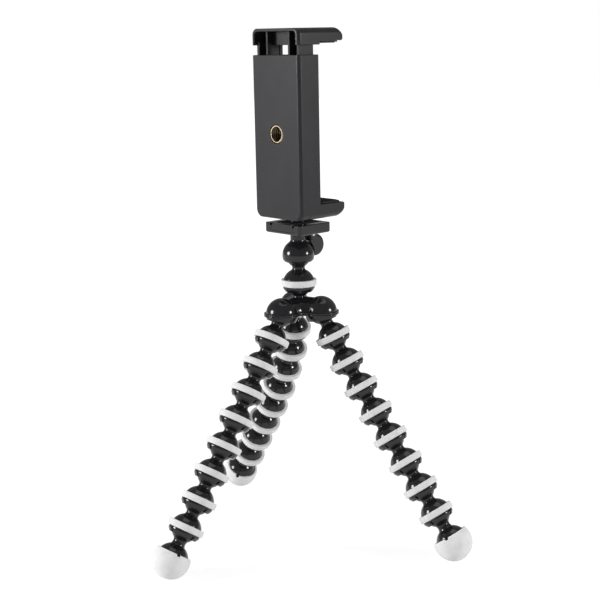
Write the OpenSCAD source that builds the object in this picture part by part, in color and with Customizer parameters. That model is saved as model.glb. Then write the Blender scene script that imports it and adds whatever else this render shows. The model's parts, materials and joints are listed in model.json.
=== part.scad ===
// Flexible tripod: three legs of ball-and-socket links, a hub, a ball neck,
// a quick release head and a sprung clamp. Millimetres, +Z up, the feet stand on z = 0.

/* [Leg links] */
// Distance between the ball centres of two neighbouring links
link_pitch = 12.75; // [12.4:0.05:15]
// Diameter of every ball
ball_d = 11.4; // [11:0.1:11.8]
// Wall of the domed shell round a ball
shell_wall = 0.85; // [0.8:0.05:1.1]
// Wall of the band round the socket that carries the ring
band_wall = 1.4; // [1.3:0.05:1.6]
// Width of the band's lip above the ring
band_lip = 0.4; // [0.3:0.05:0.6]
// Diameter of the neck between a ball and its dome
neck_d = 5.2; // [4.4:0.1:5.4]
// Depth of the socket rim below the ball centre
rim_h = 3.1; // [2.9:0.1:3.4]
// Width of the slits that let the rim snap over a ball
slit_w = 0.8; // [0.5:0.1:1.2]
// Number of links with a ring on each leg
ringed_links = 8; // [6:1:8]

/* [Grip rings] */
// Height of a rubber ring
ring_h = 2.8; // [2.4:0.1:3]
// Height of a ring's middle above the ball centre in its socket
ring_rise = 0.8; // [0.6:0.05:1]
// Thickness of a rubber ring
ring_t = 1.1; // [0.8:0.05:1.4]
// Depth of the groove that a ring sits in
ring_seat = 0.3; // [0.2:0.05:0.5]
// Bevel on the outer edges of a ring
ring_bevel = 0.5; // [0.2:0.05:0.7]

/* [Feet] */
// Diameter of a rubber foot
foot_d = 16.6; // [16:0.1:18]
// Distance from a foot link's ball to the middle of its rubber foot
foot_pitch = 13.8; // [13.4:0.1:16]
// Height of the rubber foot's edge above its middle
foot_edge = 3.2; // [2:0.1:4]
// Wall of the rubber foot
foot_wall = 1.8; // [1.4:0.1:2.2]
// Width of the rubber foot's edge that shows round the dome above it
foot_ledge = 0.35; // [0.2:0.05:0.6]

/* [Leg pose] */
// Tilt of the first link of the right, left and rear leg from the vertical, in degrees
first_tilts = [27, 25.5, 32]; // [22:0.5:32]
// Tilt of the foot link of the right, left and rear leg from the vertical, in degrees
last_tilts = [36, 38.5, 35]; // [34:0.5:42]
// Turn of the right, left and rear leg away from its hub socket, in degrees
leg_turns = [-14, 23, 0]; // [-24:1:24]

/* [Hub] */
// Distance from the hub's axis to each leg socket
hub_reach = 10.2; // [9.8:0.1:14]
// Turn of the right leg socket from the X axis, in degrees
hub_turn = 28; // [20:1:36]
// Outward tilt of the leg sockets' mouths, in degrees
socket_splay = 10; // [6:1:12]
// Wall of the hub's domes over the balls
hub_wall = 1.35; // [1.2:0.05:1.6]
// Width that the parting lip stands out from the domes
lip_w = 0.8; // [0.5:0.1:1.2]
// Thickness of the parting lip on each hub half
lip_h = 0.7; // [0.5:0.1:1]
// Height of the hub's ball stud above the leg sockets
stud_rise = 12; // [11.8:0.1:14]
// Shaft diameter of the screw that holds the hub halves together
hub_screw_d = 2.6; // [2:0.1:3]

/* [Neck and head] */
// Distance between the two ball centres of the neck link
neck_pitch = 13.1; // [12.8:0.1:15]
// Wall of the head's socket
head_wall = 1.35; // [1.2:0.05:1.5]
// Depth of the head socket's mouth below the ball centre
head_mouth = 2.7; // [2.6:0.1:3]
// Diameter of the post between the head's socket and its tray
post_d = 6.8; // [6:0.1:7]
// Height of the tray's underside above the head's ball centre
tray_rise = 10.3; // [10:0.1:12]

/* [Quick release tray] */
// Width of the tray across its rails
tray_w = 22.8; // [22:0.1:26]
// Length of the tray along its rails
tray_l = 18.9; // [18:0.1:24]
// Height of the tray
tray_h = 4.5; // [4.2:0.1:5]
// Thickness of the tray's floor
tray_floor = 1.1; // [0.9:0.1:1.3]
// Thickness of the tray's front wall
tray_stop = 1.4; // [1:0.1:1.5]
// Width of the plate's dovetail at its foot
dovetail_w = 15.2; // [14.5:0.1:16]
// How much the dovetail narrows on each side towards its top
dovetail_in = 1.2; // [0.8:0.1:1.4]
// Corner radius of the tray
tray_corner = 1.5; // [0.8:0.1:2]
// Radius of the tray's lower edges
tray_edge = 1; // [0.6:0.1:1.2]
// Width of the step along the top of each rail
rail_step_w = 1.4; // [1:0.1:1.8]
// Depth of that step
rail_step_h = 1.1; // [0.8:0.1:1.4]

/* [Release lever] */
// Width of the lever
lever_w = 5; // [4:0.1:5.6]
// Diameter of the lever's thumb disc
thumb_d = 9.8; // [8:0.1:10]
// Diameter of the cam that presses on the plate
cam_d = 4.4; // [4.2:0.1:4.6]
// How far the cam's centre stands above the lever's pin
cam_throw = 0.4; // [0.2:0.05:0.5]
// Diameter of the lever's pin
lever_pin_d = 1.6; // [1.2:0.1:1.8]
// Distance from the head's axis to the lever's pin
lever_pin_y = 6; // [5.9:0.1:6.1]

/* [Mounting screw] */
// Shaft diameter of the camera screw
screw_d = 6.24; // [6:0.02:6.3]
// Bore diameter of the brass inserts
insert_bore_d = 6.4; // [6.36:0.01:6.6]
// Outer diameter of the brass inserts
insert_d = 8.1; // [7.6:0.1:9]
// Length of the brass inserts
insert_l = 5.6; // [5:0.1:5.8]
// Diameter of the screw's head
screw_head_d = 10.4; // [9:0.1:10.6]
// Height of the boss that the clamp is screwed down on
boss_h = 1.95; // [1:0.05:3]
// Diameter of that boss
boss_d = 8; // [7.8:0.1:9]
// Thickness of the pad between the boss and the clamp
base_pad_t = 0.45; // [0.3:0.05:0.8]
// Thickness of the screw's head
screw_head_h = 1.1; // [0.9:0.05:1.2]

/* [Clamp body] */
// Width of the clamp
clamp_w = 29.9; // [28:0.1:36]
// Depth of the clamp behind the screw axis
clamp_back = 11.35; // [11:0.05:13]
// Depth of the jaws in front of the screw axis
clamp_front = 14.6; // [12:0.1:20]
// Gap between the body's top and the upper jaw's skirt at rest
rest_gap = 4.05; // [3.6:0.05:10]
// Height of the lower jaw, without its pad
lower_jaw_h = 6.4; // [6.3:0.05:9]
// Opening between the jaw pads at rest
grip_w = 67.1; // [66.8:0.1:76]
// Thickness of the jaw pads
jaw_pad_t = 0.95; // [0.6:0.05:1.2]
// Thickness of the pad on the front cover
back_pad_t = 0.75; // [0.5:0.05:1.2]
// Thickness of the clamp's rear wall
rear_wall = 1.7; // [1.4:0.1:2]
// Thickness of the clamp's side walls
side_wall = 1.6; // [1.5:0.05:2]
// Thickness of the front cover
cover_t = 1.2; // [1:0.1:1.6]
// Radius of the clamp's lower side corners
clamp_corner = 3.5; // [2:0.1:4]
// Radius of the lower jaw's bottom front edge
chin_r = 3.8; // [3:0.1:4.9]
// Radius of the lower jaw's top front edge
tip_r = 1.2; // [0.6:0.1:1.3]
// Radius of the clamp's rear edges
back_edge_r = 1.6; // [0.8:0.1:1.8]
// Radius of the clamp's lower rear edge
heel_r = 0.8; // [0.5:0.1:1.4]
// Height of the rear insert above the clamp's underside
rear_insert_z = 36.6; // [30:0.1:40]

/* [Sliding jaw] */
// Radius of the upper jaw's top side edges
jaw_corner = 3; // [2:0.1:4]
// Radius of the upper jaw's top front edge
brow_r = 3.6; // [2:0.1:4]
// Thickness of the upper jaw's side walls
jaw_wall = 2; // [1.9:0.1:2.6]
// Thickness of the upper jaw's top
jaw_skin = 1.3; // [1:0.1:1.6]
// Height of the upper jaw above its skirt
jaw_h = 7.05; // [6.6:0.05:9]
// Height of the upper jaw's tip above its pad
jaw_tip_h = 5.5; // [5:0.05:7]
// Thickness of the tongue's walls
tongue_wall = 1.5; // [1.2:0.1:1.8]
// Clearance between the tongue's ribs and the rear insert's boss
rib_gap = 1.1; // [0.6:0.1:1.4]
// Thickness of the tongue's ribs
rib_t = 1.2; // [1:0.1:1.4]
// Length of the tongue that stays inside the body at rest
tongue_in = 29.8; // [27:0.1:31]
// Clearance between a spring and the walls beside it
spring_gap = 0.32; // [0.2:0.01:0.6]
// Thickness of the springs' wire as a share of their radius
wire_share = 0.33; // [0.25:0.01:0.4]

/* [Clearances] */
// Radial clearance between a ball and its socket
ball_gap = 0.05; // [0.03:0.01:0.09]
// Clearance between sliding faces
slide_gap = 0.1; // [0.06:0.01:0.15]
// Clearance round pins and screws
pin_gap = 0.05; // [0.03:0.01:0.08]
// Clearance between pieces that are pressed or glued together
seat_gap = 0.03; // [0.02:0.01:0.05]

/* [Hidden] */
$fn = 64;
LEGS = ["right", "left", "rear"];

// How far a cut runs past the face that it opens
overrun = 1;

// Links
ball_r = ball_d / 2;
cavity_r = ball_r + ball_gap;
dome_r = cavity_r + shell_wall;
band_r = cavity_r + band_wall;
neck_r = neck_d / 2;
seat_r = band_r - ring_seat;
ring_r = seat_r + seat_gap + ring_t;
foot_r = foot_d / 2;
plug_r = foot_r - foot_wall;
ledge_r = sqrt(pow(foot_r, 2) - pow(foot_edge, 2)) - foot_ledge;

// Leg pose. The right leg's own bends set the height of the hub, and the other two legs are
// spread or drawn in until their feet stand on the same floor.
links = ringed_links + 1;
function ease_share(i) = 1 - pow(1 - i / ringed_links, 3);
function bent_tilt(leg, i) =
    first_tilts[leg] + (last_tilts[leg] - first_tilts[leg]) * ease_share(i);
function step_of(i) = i < ringed_links ? link_pitch : foot_pitch;
function total(values, i = 0) = i < len(values) ? values[i] + total(values, i + 1) : 0;
function fall(leg) = total([for (i = [0 : ringed_links]) step_of(i) * cos(bent_tilt(leg, i))]);
function spread(leg) = total([for (i = [0 : ringed_links]) step_of(i) * sin(bent_tilt(leg, i))]);
drop = fall(0);
function levelling(leg) =
    acos(min(1, drop / norm([fall(leg), spread(leg)]))) - atan2(spread(leg), fall(leg));
function tilt(leg, i) = bent_tilt(leg, i) + levelling(leg);
function lobe_turn(leg) = hub_turn + 360 / len(LEGS) * leg;
function turn(leg, i) = lobe_turn(leg) + leg_turns[leg] * ease_share(i);
function heading(leg, i) = [
    sin(tilt(leg, i)) * cos(turn(leg, i)),
    sin(tilt(leg, i)) * sin(turn(leg, i)),
    -cos(tilt(leg, i))];
hub_z = foot_r + drop;
function lobe(leg) = hub_reach * [cos(lobe_turn(leg)), sin(lobe_turn(leg)), 0];
function joint_at(leg, i) = i == 0
    ? lobe(leg) + [0, 0, hub_z]
    : joint_at(leg, i - 1) + step_of(i - 1) * heading(leg, i - 1);

// The origin lies on the floor, in the middle of the box that the feet span
feet = [for (leg = [0 : len(LEGS) - 1]) joint_at(leg, links)];
function middle(axis) = (max([for (p = feet) p[axis]]) + min([for (p = feet) p[axis]])) / 2;
stand_x = -middle(0);
stand_y = -middle(1);

// Hub
hub_dome_r = cavity_r + hub_wall;
hub_arm_r = hub_dome_r - lip_w;
collar_r = cavity_r + hub_wall;
stud_boss_r = neck_r + 2 * hub_wall;
hub_web_h = 2 * lip_h;
hub_screw_r = hub_screw_d / 2;
hub_screw_head_r = 2 * hub_screw_r - lip_h / 2;
hub_screw_head_h = hub_screw_r;
hub_screw_l = hub_dome_r - hub_wall;
drive_w = hub_screw_d / 4;

// Heights up the axis
stud_z = hub_z + stud_rise;
head_z = stud_z + neck_pitch;
tray_z = head_z + tray_rise;
tray_top = tray_z + tray_h;
plate_z = tray_z + tray_floor + slide_gap;
clamp_z = tray_top + boss_h + base_pad_t;

// Head, with the lever measured from the head's ball centre
head_r = cavity_r + head_wall;
cam_r = cam_d / 2;
thumb_r = thumb_d / 2;
lever_pin_r = lever_pin_d / 2;
lever_pin_z = tray_rise + tray_floor + slide_gap / 2 - cam_r - cam_throw;
thumb_out = 3.1;
thumb_drop = 5.2;
lever_relief = 0.6;
ear_t = 1.2;
ear_r = lever_pin_r + ear_t;
ear_x = lever_w / 2 + slide_gap;
window_back = cam_r + cam_throw / 2;

// Quick release plate
dovetail_low = dovetail_w / 2;
dovetail_high = dovetail_low - dovetail_in;
channel_end = tray_l / 2 - tray_stop;
rail_in = dovetail_high + rail_step_w;
boss_r = boss_d / 2;
screw_r = screw_d / 2;
screw_head_r = screw_head_d / 2;
plate_pad_t = 0.75;
plate_pad_sink = 0.6;
plate_pad_w = 11;
plate_pad_l = 15;
coin_slot_w = 1.4;
coin_slot_h = 0.6;
screw_tip = insert_l - 4 * pin_gap;

// Clamp, measured from its underside on the screw's axis
pad_top = lower_jaw_h + jaw_pad_t;
jaw_under = pad_top + grip_w + jaw_pad_t;
clamp_top = jaw_under + jaw_tip_h;
skirt_z = clamp_top - jaw_h;
body_h = skirt_z - rest_gap;
clamp_x = clamp_w / 2;
cavity_x = clamp_x - side_wall;
cavity_back = rear_wall - clamp_back;
cavity_floor = rear_wall;
cover_low = lower_jaw_h + side_wall;
cover_high = body_h - side_wall;
cover_ledge = 0.7;
cover_x = cavity_x + cover_ledge;
insert_r = insert_d / 2;
insert_bore_r = insert_bore_d / 2;
insert_boss_r = insert_r + rear_wall * 2 / 3;
insert_boss_l = insert_l + jaw_pad_t;
pad_inset = 1.4;
base_pad_w = 20;
base_pad_l = 16;
cover_screw_x = 5;
cover_screw_z = 20;
cover_screw_r = 1;
cover_head_r = 1.9;
cover_head_h = 0.7;
cover_boss_r = 2.2;
spring_pin_r = 0.9;
spring_pin_hold = 0.9;
spring_y = -5;
lower_pin_z = 12;

// Sliding jaw, measured like the clamp
skirt_front = 1;
tongue_x = cavity_x - slide_gap;
tongue_back = cavity_back + slide_gap;
tongue_front = -cover_t - slide_gap;
tongue_inner = tongue_front - tongue_wall;
tongue_z = body_h - tongue_in;
web_back = (tongue_back + tongue_inner) / 2;
slot_h = 14;
slot_share = 0.86;
pin_rise = 3;
rib_x = insert_boss_r + rib_gap + rib_t / 2;
rib_out = rib_x + rib_t / 2;
slot_w = 2 * rib_x * slot_share;
upper_pin_z = tongue_z + pin_rise;
spring_room = tongue_x - tongue_wall - rib_out;
spring_x = rib_out + spring_room / 2;
spring_r = spring_room / 2 - spring_gap;
spring_wire = spring_r * wire_share;
spring_low = lower_pin_z + spring_pin_r + spring_wire / 2;
spring_high = upper_pin_z - spring_pin_r - spring_wire / 2;

// Colours
shell_black = "#26262a";
clamp_grey = "#3c3c42";
rubber_white = "#eceae6";
pad_black = "#161618";
brass = "#c8a45c";
steel = "#a9abae";

// Box between two corners
module block(low, high) {
    translate(low) cube(high - low);
}

// Rectangle between two corners whose four corners are rounded
module round_rect(low, high, r) {
    translate(low + [r, 0]) square(high - low - [2 * r, 0]);
    translate(low + [0, r]) square(high - low - [0, 2 * r]);
    for (x = [low.x + r, high.x - r], y = [low.y + r, high.y - r]) translate([x, y]) circle(r);
}

// Lays an outline drawn in depth and height across the clamp's width
module across(width) {
    translate([-width / 2, 0, 0]) rotate([90, 0, 90]) linear_extrude(width) children();
}

// Lays an outline drawn in width and height along the clamp's depth
module along(back, front) {
    translate([0, front, 0]) rotate([90, 0, 0]) linear_extrude(front - back) children();
}

// Round bar along X between two places
module cross_bar(r, from, to, y, z) {
    translate([from, y, z]) rotate([0, 90, 0]) cylinder(r = r, h = to - from);
}

// Round bar along Y between two places
module depth_bar(r, x, from, to, z) {
    translate([x, from, z]) rotate([-90, 0, 0]) cylinder(r = r, h = to - from);
}

module on_axis(z) {
    translate([stand_x, stand_y, z]) children();
}

module on_clamp() {
    on_axis(clamp_z) children();
}

// Puts a link with its ball centre at a joint and its socket towards the next one
module on_leg(leg, i) {
    translate(joint_at(leg, i) + [stand_x, stand_y, 0])
        rotate([0, -tilt(leg, i), turn(leg, i)]) children();
}

// Dome round the origin that runs straight down to an edge of a given radius and height
module dome_outline(edge_r, edge_z) {
    a = atan2(edge_z, edge_r) + acos(dome_r / norm([edge_r, edge_z]));
    circle(dome_r);
    polygon([[0, edge_z], [edge_r, edge_z], dome_r * [cos(a), sin(a)], [0, dome_r * sin(a)]]);
}

// Right half of a link without its ring: ball, neck, and dome with its band, groove and mouth
module link_outline(pitch) {
    groove_h = ring_h / 2 + seat_gap;
    band_top = ring_rise + ring_h / 2 + band_lip;
    difference() {
        union() {
            circle(ball_r);
            translate([0, -pitch]) square([neck_r, pitch]);
            translate([0, -pitch]) dome_outline(band_r, band_top);
            translate([0, -pitch - rim_h]) square([band_r, rim_h + band_top]);
        }
        translate([0, -pitch]) circle(cavity_r);
        translate([seat_r, -pitch + ring_rise - groove_h]) square([band_r, 2 * groove_h]);
        translate([0, -pitch - rim_h - band_r]) square([band_r, band_r]);
        translate([-pitch, -pitch - 2 * band_r]) square([pitch, pitch + 3 * band_r]);
    }
}

module link_shell(pitch) {
    slit_l = 2 * (band_r + overrun);
    slit_h = rim_h - ring_h / 2;
    difference() {
        rotate_extrude() link_outline(pitch);
        for (a = [0, 90]) rotate(a)
            translate([-slit_l / 2, -slit_w / 2, -pitch - rim_h - overrun])
                cube([slit_l, slit_w, slit_h + overrun]);
    }
}

// Rubber ring with bevelled edges, round the socket centre
module grip_ring(pitch) {
    low = ring_rise - pitch - ring_h / 2;
    high = ring_rise - pitch + ring_h / 2;
    rotate_extrude() polygon([
        [seat_r + seat_gap, low], [ring_r - ring_bevel, low], [ring_r, low + ring_bevel],
        [ring_r, high - ring_bevel], [ring_r - ring_bevel, high], [seat_r + seat_gap, high]]);
}

module leg_link(leg, i) {
    on_leg(leg, i) {
        color(shell_black) link_shell(link_pitch);
        color(rubber_white) grip_ring(link_pitch);
    }
}

// Last link: its dome ends on the rubber foot's edge and carries the plug inside it
module foot_link(leg) {
    edge_z = foot_edge - foot_pitch;
    color(shell_black) on_leg(leg, ringed_links) rotate_extrude() intersection() {
        union() {
            circle(ball_r);
            translate([0, -foot_pitch]) square([neck_r, foot_pitch]);
            difference() {
                translate([0, -link_pitch]) dome_outline(ledge_r, edge_z + link_pitch);
                translate([0, edge_z - 2 * dome_r]) square([dome_r + overrun, 2 * dome_r]);
            }
            translate([0, -foot_pitch]) circle(plug_r);
        }
        translate([0, -2 * foot_pitch]) square([foot_r, 3 * foot_pitch]);
    }
}

module foot_cap(leg) {
    edge_z = foot_edge - foot_pitch - seat_gap;
    color(rubber_white) on_leg(leg, ringed_links) rotate_extrude() difference() {
        translate([0, -foot_pitch]) circle(foot_r);
        translate([0, -foot_pitch]) circle(plug_r + seat_gap);
        translate([0, edge_z]) square([foot_r + overrun, foot_r]);
        translate([-foot_r - overrun, -foot_pitch - foot_r - overrun])
            square([foot_r + overrun, 2 * (foot_r + overrun)]);
    }
}

// Flat lip round the three sockets
module hub_lip() {
    linear_extrude(lip_h) for (leg = [0 : len(LEGS) - 1]) rotate(lobe_turn(leg)) {
        translate([hub_reach, 0]) circle(hub_dome_r + lip_w);
        translate([0, -hub_arm_r - lip_w]) square([hub_reach, 2 * (hub_arm_r + lip_w)]);
    }
}

// Spheres over the three leg sockets
module lobe_balls(r) {
    for (leg = [0 : len(LEGS) - 1]) translate(lobe(leg)) sphere(r);
}

module hub_top() {
    color(shell_black) on_axis(hub_z) difference() {
        union() {
            hub_lip();
            difference() {
                union() {
                    lobe_balls(hub_dome_r);
                    for (leg = [0 : len(LEGS) - 1]) rotate([0, 90, lobe_turn(leg)])
                        cylinder(r = hub_arm_r, h = hub_reach);
                }
                translate([0, 0, -hub_dome_r]) cylinder(r = 3 * hub_reach, h = hub_dome_r);
            }
            cylinder(r1 = stud_boss_r, r2 = neck_r, h = hub_dome_r);
            cylinder(r = neck_r, h = stud_rise);
            translate([0, 0, stud_rise]) sphere(ball_r);
        }
        lobe_balls(cavity_r);
        translate([0, 0, -overrun])
            cylinder(r = hub_screw_r + seat_gap, h = hub_screw_l + overrun + seat_gap);
    }
}

// Lower half: lip, web and three collars that hold the balls
module hub_bottom() {
    color(shell_black) on_axis(hub_z - seat_gap) difference() {
        union() {
            translate([0, 0, -lip_h]) hub_lip();
            translate([0, 0, -hub_web_h]) cylinder(r = hub_reach / 2, h = hub_web_h);
            for (leg = [0 : len(LEGS) - 1]) translate(lobe(leg))
                rotate([0, -socket_splay, lobe_turn(leg)])
                translate([0, 0, -rim_h]) cylinder(r = collar_r, h = rim_h);
        }
        lobe_balls(cavity_r);
        cylinder(r = 3 * hub_reach, h = hub_dome_r);
        translate([0, 0, -hub_web_h - overrun])
            cylinder(r = hub_screw_r + pin_gap, h = hub_web_h + 2 * overrun);
        translate([0, 0, -hub_web_h - 2 * hub_screw_head_h])
            cylinder(r = hub_screw_head_r + pin_gap, h = 2 * hub_screw_head_h);
    }
}

module hub_screw() {
    head_z = -hub_web_h - 2 * seat_gap - hub_screw_head_h;
    color(steel) on_axis(hub_z) difference() {
        union() {
            translate([0, 0, head_z]) cylinder(r = hub_screw_head_r, h = hub_screw_head_h);
            translate([0, 0, head_z]) cylinder(r = hub_screw_r, h = hub_screw_l - head_z);
        }
        for (a = [0, 90]) rotate(a)
            translate([-hub_screw_r, -drive_w / 2, head_z - overrun])
            cube([2 * hub_screw_r, drive_w, overrun + hub_screw_head_h / 2]);
    }
}

module neck_link() {
    color(shell_black) on_axis(head_z) link_shell(neck_pitch);
}

module neck_ring() {
    color(rubber_white) on_axis(head_z) grip_ring(neck_pitch);
}

// Dovetail outline, drawn in width and height above the tray's underside
module dovetail(low, gap, top) {
    polygon([
        [gap - dovetail_low, low], [dovetail_low - gap, low],
        [dovetail_high - gap, tray_h], [dovetail_high - gap, top],
        [gap - dovetail_high, top], [gap - dovetail_high, tray_h]]);
}

// Tray before its channel is cut, rounded at its corners and lower edges
module tray_block() {
    intersection() {
        linear_extrude(tray_h)
            round_rect([-tray_w / 2, -tray_l / 2], [tray_w / 2, tray_l / 2], tray_corner);
        along(-tray_l / 2, tray_l / 2) face_outline(tray_w / 2, 0, tray_h, tray_edge, false);
        across(tray_w) face_outline(tray_l / 2, 0, tray_h, tray_edge, false);
    }
}

// Ball socket, post, tray with its dovetail channel, and the lever's two ears
module head_tray() {
    window_y = lever_pin_y - window_back;
    color(shell_black) on_axis(head_z) difference() {
        union() {
            sphere(head_r);
            translate([0, 0, -head_mouth]) cylinder(r = head_r, h = head_mouth);
            cylinder(d = post_d, h = tray_rise + tray_floor / 2);
            translate([0, 0, tray_rise]) tray_block();
            for (x = [-ear_x - ear_t, ear_x]) {
                cross_bar(ear_r, x, x + ear_t, lever_pin_y, lever_pin_z);
                block([x, lever_pin_y - ear_r, lever_pin_z],
                      [x + ear_t, lever_pin_y + ear_r, tray_rise + tray_floor / 2]);
            }
        }
        sphere(cavity_r);
        translate([0, 0, -head_r - overrun]) cylinder(r = head_r, h = head_r + overrun - head_mouth);
        translate([0, 0, tray_rise]) along(-tray_l / 2 - overrun, channel_end)
            dovetail(tray_floor, 0, tray_h + overrun);
        block([-rail_in, -tray_l / 2 - overrun, tray_rise + tray_h - rail_step_h],
              [rail_in, channel_end, tray_rise + tray_h + overrun]);
        block([-ear_x, window_y, tray_rise - overrun], [ear_x, channel_end, tray_rise + tray_h / 2]);
        cross_bar(lever_pin_r + seat_gap, -tray_w / 2, tray_w / 2, lever_pin_y, lever_pin_z);
    }
}

module lever_pin() {
    color(steel) on_axis(head_z)
        cross_bar(lever_pin_r, -ear_x - ear_t, ear_x + ear_t, lever_pin_y, lever_pin_z);
}

// Cam, arm and thumb disc, hollowed to clear the head's socket
module release_lever() {
    arm_l = norm([thumb_out, thumb_drop]);
    color(shell_black) on_axis(head_z) difference() {
        across(lever_w) difference() {
            union() {
                translate([lever_pin_y, lever_pin_z + cam_throw]) circle(cam_r);
                translate([lever_pin_y + thumb_out, lever_pin_z - thumb_drop]) circle(thumb_r);
                translate([lever_pin_y, lever_pin_z]) rotate(atan2(-thumb_drop, thumb_out))
                    translate([0, -cam_r + cam_throw]) square([arm_l, 2 * (cam_r - cam_throw)]);
            }
            circle(head_r + lever_relief);
        }
        cross_bar(lever_pin_r + pin_gap, -lever_w, lever_w, lever_pin_y, lever_pin_z);
    }
}

module quick_plate() {
    color(shell_black) on_axis(tray_z) difference() {
        union() {
            along(-tray_l / 2, channel_end - slide_gap)
                dovetail(tray_floor + slide_gap, slide_gap, tray_h);
            translate([0, 0, tray_h - plate_pad_sink])
                cylinder(r = boss_r, h = boss_h + plate_pad_sink);
        }
        translate([0, 0, tray_floor - overrun])
            cylinder(r = screw_r + pin_gap, h = tray_h + boss_h + 2 * overrun);
        translate([0, 0, tray_floor - overrun])
            cylinder(r = screw_head_r + slide_gap,
                     h = overrun + 2 * slide_gap + screw_head_h);
        difference() {
            block([-plate_pad_w / 2, -plate_pad_l / 2, tray_h - plate_pad_sink],
                  [plate_pad_w / 2, plate_pad_l / 2, tray_h + overrun]);
            cylinder(r = boss_r, h = 3 * tray_h);
        }
    }
}

module plate_pad() {
    low = tray_h - plate_pad_sink + seat_gap;
    side = plate_pad_w / 2 - seat_gap;
    end = plate_pad_l / 2 - seat_gap;
    color(pad_black) on_axis(tray_z) difference() {
        block([-side, -end, low], [side, end, low + plate_pad_t]);
        translate([0, 0, low - overrun])
            cylinder(r = boss_r + seat_gap, h = plate_pad_t + 2 * overrun);
    }
}

// Camera screw: its head lies under the plate and its tip in the clamp's lower insert
module mount_screw() {
    color(steel) on_axis(plate_z) difference() {
        union() {
            cylinder(r = screw_head_r, h = screw_head_h);
            cylinder(r = screw_r, h = clamp_z - plate_z + screw_tip);
        }
        block([-screw_head_r, -coin_slot_w / 2, -overrun],
              [screw_head_r, coin_slot_w / 2, coin_slot_h]);
    }
}

// Outline of a jaw in depth and height, rounded at its two front edges
module jaw_side_outline(back, front, low, high, low_r, high_r) {
    translate([back, low]) square([front - low_r - back, high - low - high_r]);
    translate([back, low + low_r]) square([front - high_r - back, high - low - low_r]);
    translate([back, low + low_r]) square([front - back, high - low - low_r - high_r]);
    intersection() {
        translate([front - low_r, low + low_r]) circle(low_r);
        translate([back, low]) square([front - back, low_r]);
    }
    intersection() {
        translate([front - high_r, high - high_r]) circle(high_r);
        translate([back, high - high_r]) square([front - back, high_r]);
    }
}

// Outline in width and height, rounded at its two lower or upper corners
module face_outline(half, low, high, r, upper) {
    round_z = upper ? high - r : low + r;
    translate([-half, upper ? low : low + r]) square([2 * half, high - low - r]);
    translate([r - half, low]) square([2 * (half - r), high - low]);
    for (x = [r - half, half - r]) translate([x, round_z]) circle(r);
}

// Outline seen from above, rounded at the two rear corners
module plan_outline(back, front) {
    r = back_edge_r;
    translate([r - clamp_x, back]) square([2 * (clamp_x - r), front - back]);
    translate([-clamp_x, back + r]) square([2 * clamp_x, front - back - r]);
    for (x = [r - clamp_x, clamp_x - r]) translate([x, back + r]) circle(r);
}

module clamp_outer() {
    intersection() {
        across(clamp_w) {
            translate([-clamp_back, heel_r]) square([clamp_back, body_h - heel_r]);
            translate([heel_r - clamp_back, heel_r]) circle(heel_r);
            jaw_side_outline(heel_r - clamp_back, clamp_front, 0, lower_jaw_h, chin_r, tip_r);
        }
        along(-clamp_back, clamp_front) face_outline(clamp_x, 0, body_h, clamp_corner, false);
        linear_extrude(body_h) plan_outline(-clamp_back, clamp_front);
    }
}

module clamp_body() {
    hold = spring_pin_hold + seat_gap;
    color(clamp_grey) on_clamp() difference() {
        union() {
            difference() {
                clamp_outer();
                block([-cavity_x, cavity_back, cavity_floor],
                      [cavity_x, -cover_t, body_h + overrun]);
                block([-cover_x - seat_gap, -cover_t, cover_low - seat_gap],
                      [cover_x + seat_gap, overrun, cover_high + seat_gap]);
            }
            cylinder(r = insert_boss_r, h = lower_jaw_h);
            depth_bar(insert_boss_r, 0, cavity_back - rear_wall / 2,
                      insert_boss_l - clamp_back, rear_insert_z);
            for (x = [-cover_screw_x, cover_screw_x])
                depth_bar(cover_boss_r, x, cavity_back - rear_wall / 2, -cover_t - seat_gap,
                          cover_screw_z);
        }
        translate([0, 0, -overrun]) cylinder(r = insert_r + seat_gap, h = insert_l + overrun + seat_gap);
        depth_bar(insert_r + seat_gap, 0, -clamp_back - overrun, insert_l + seat_gap - clamp_back,
                  rear_insert_z);
        for (x = [-cover_screw_x, cover_screw_x])
            depth_bar(cover_screw_r + seat_gap, x, cavity_back, 0, cover_screw_z);
        cross_bar(spring_pin_r + seat_gap, -cavity_x - hold, cavity_x + hold,
                  spring_y, lower_pin_z);
    }
}

module front_cover() {
    color(clamp_grey) on_clamp() difference() {
        block([-cover_x, -cover_t + seat_gap, cover_low], [cover_x, 0, cover_high]);
        for (x = [-cover_screw_x, cover_screw_x]) {
            depth_bar(cover_screw_r + pin_gap, x, -cover_t - overrun, overrun, cover_screw_z);
            depth_bar(cover_head_r + pin_gap, x, -cover_head_h - pin_gap, overrun, cover_screw_z);
        }
    }
}

module cover_screws() {
    color(steel) on_clamp() for (x = [-cover_screw_x, cover_screw_x]) difference() {
        union() {
            depth_bar(cover_screw_r, x, cavity_back + rear_wall, -cover_head_h / 2, cover_screw_z);
            depth_bar(cover_head_r, x, -cover_head_h, -seat_gap, cover_screw_z);
        }
        for (a = [0, 90]) translate([x, 0, cover_screw_z]) rotate([0, a, 0])
            block([-cover_screw_r, -cover_head_h / 2, -cover_screw_r / 4],
                  [cover_screw_r, overrun, cover_screw_r / 4]);
    }
}

module back_pad() {
    color(pad_black) on_clamp() block(
        [pad_inset - cover_x, seat_gap, cover_low + pad_inset],
        [cover_x - pad_inset, back_pad_t, cover_high - pad_inset]);
}

// Pad on a jaw, with rounded corners
module jaw_pad(low) {
    color(pad_black) on_clamp() translate([0, 0, low]) linear_extrude(jaw_pad_t - seat_gap)
        round_rect([pad_inset - clamp_x, back_pad_t + pad_inset],
                   [clamp_x - pad_inset, clamp_front - pad_inset], tip_r);
}

module lower_jaw_pad() {
    jaw_pad(lower_jaw_h + seat_gap);
}

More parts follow.
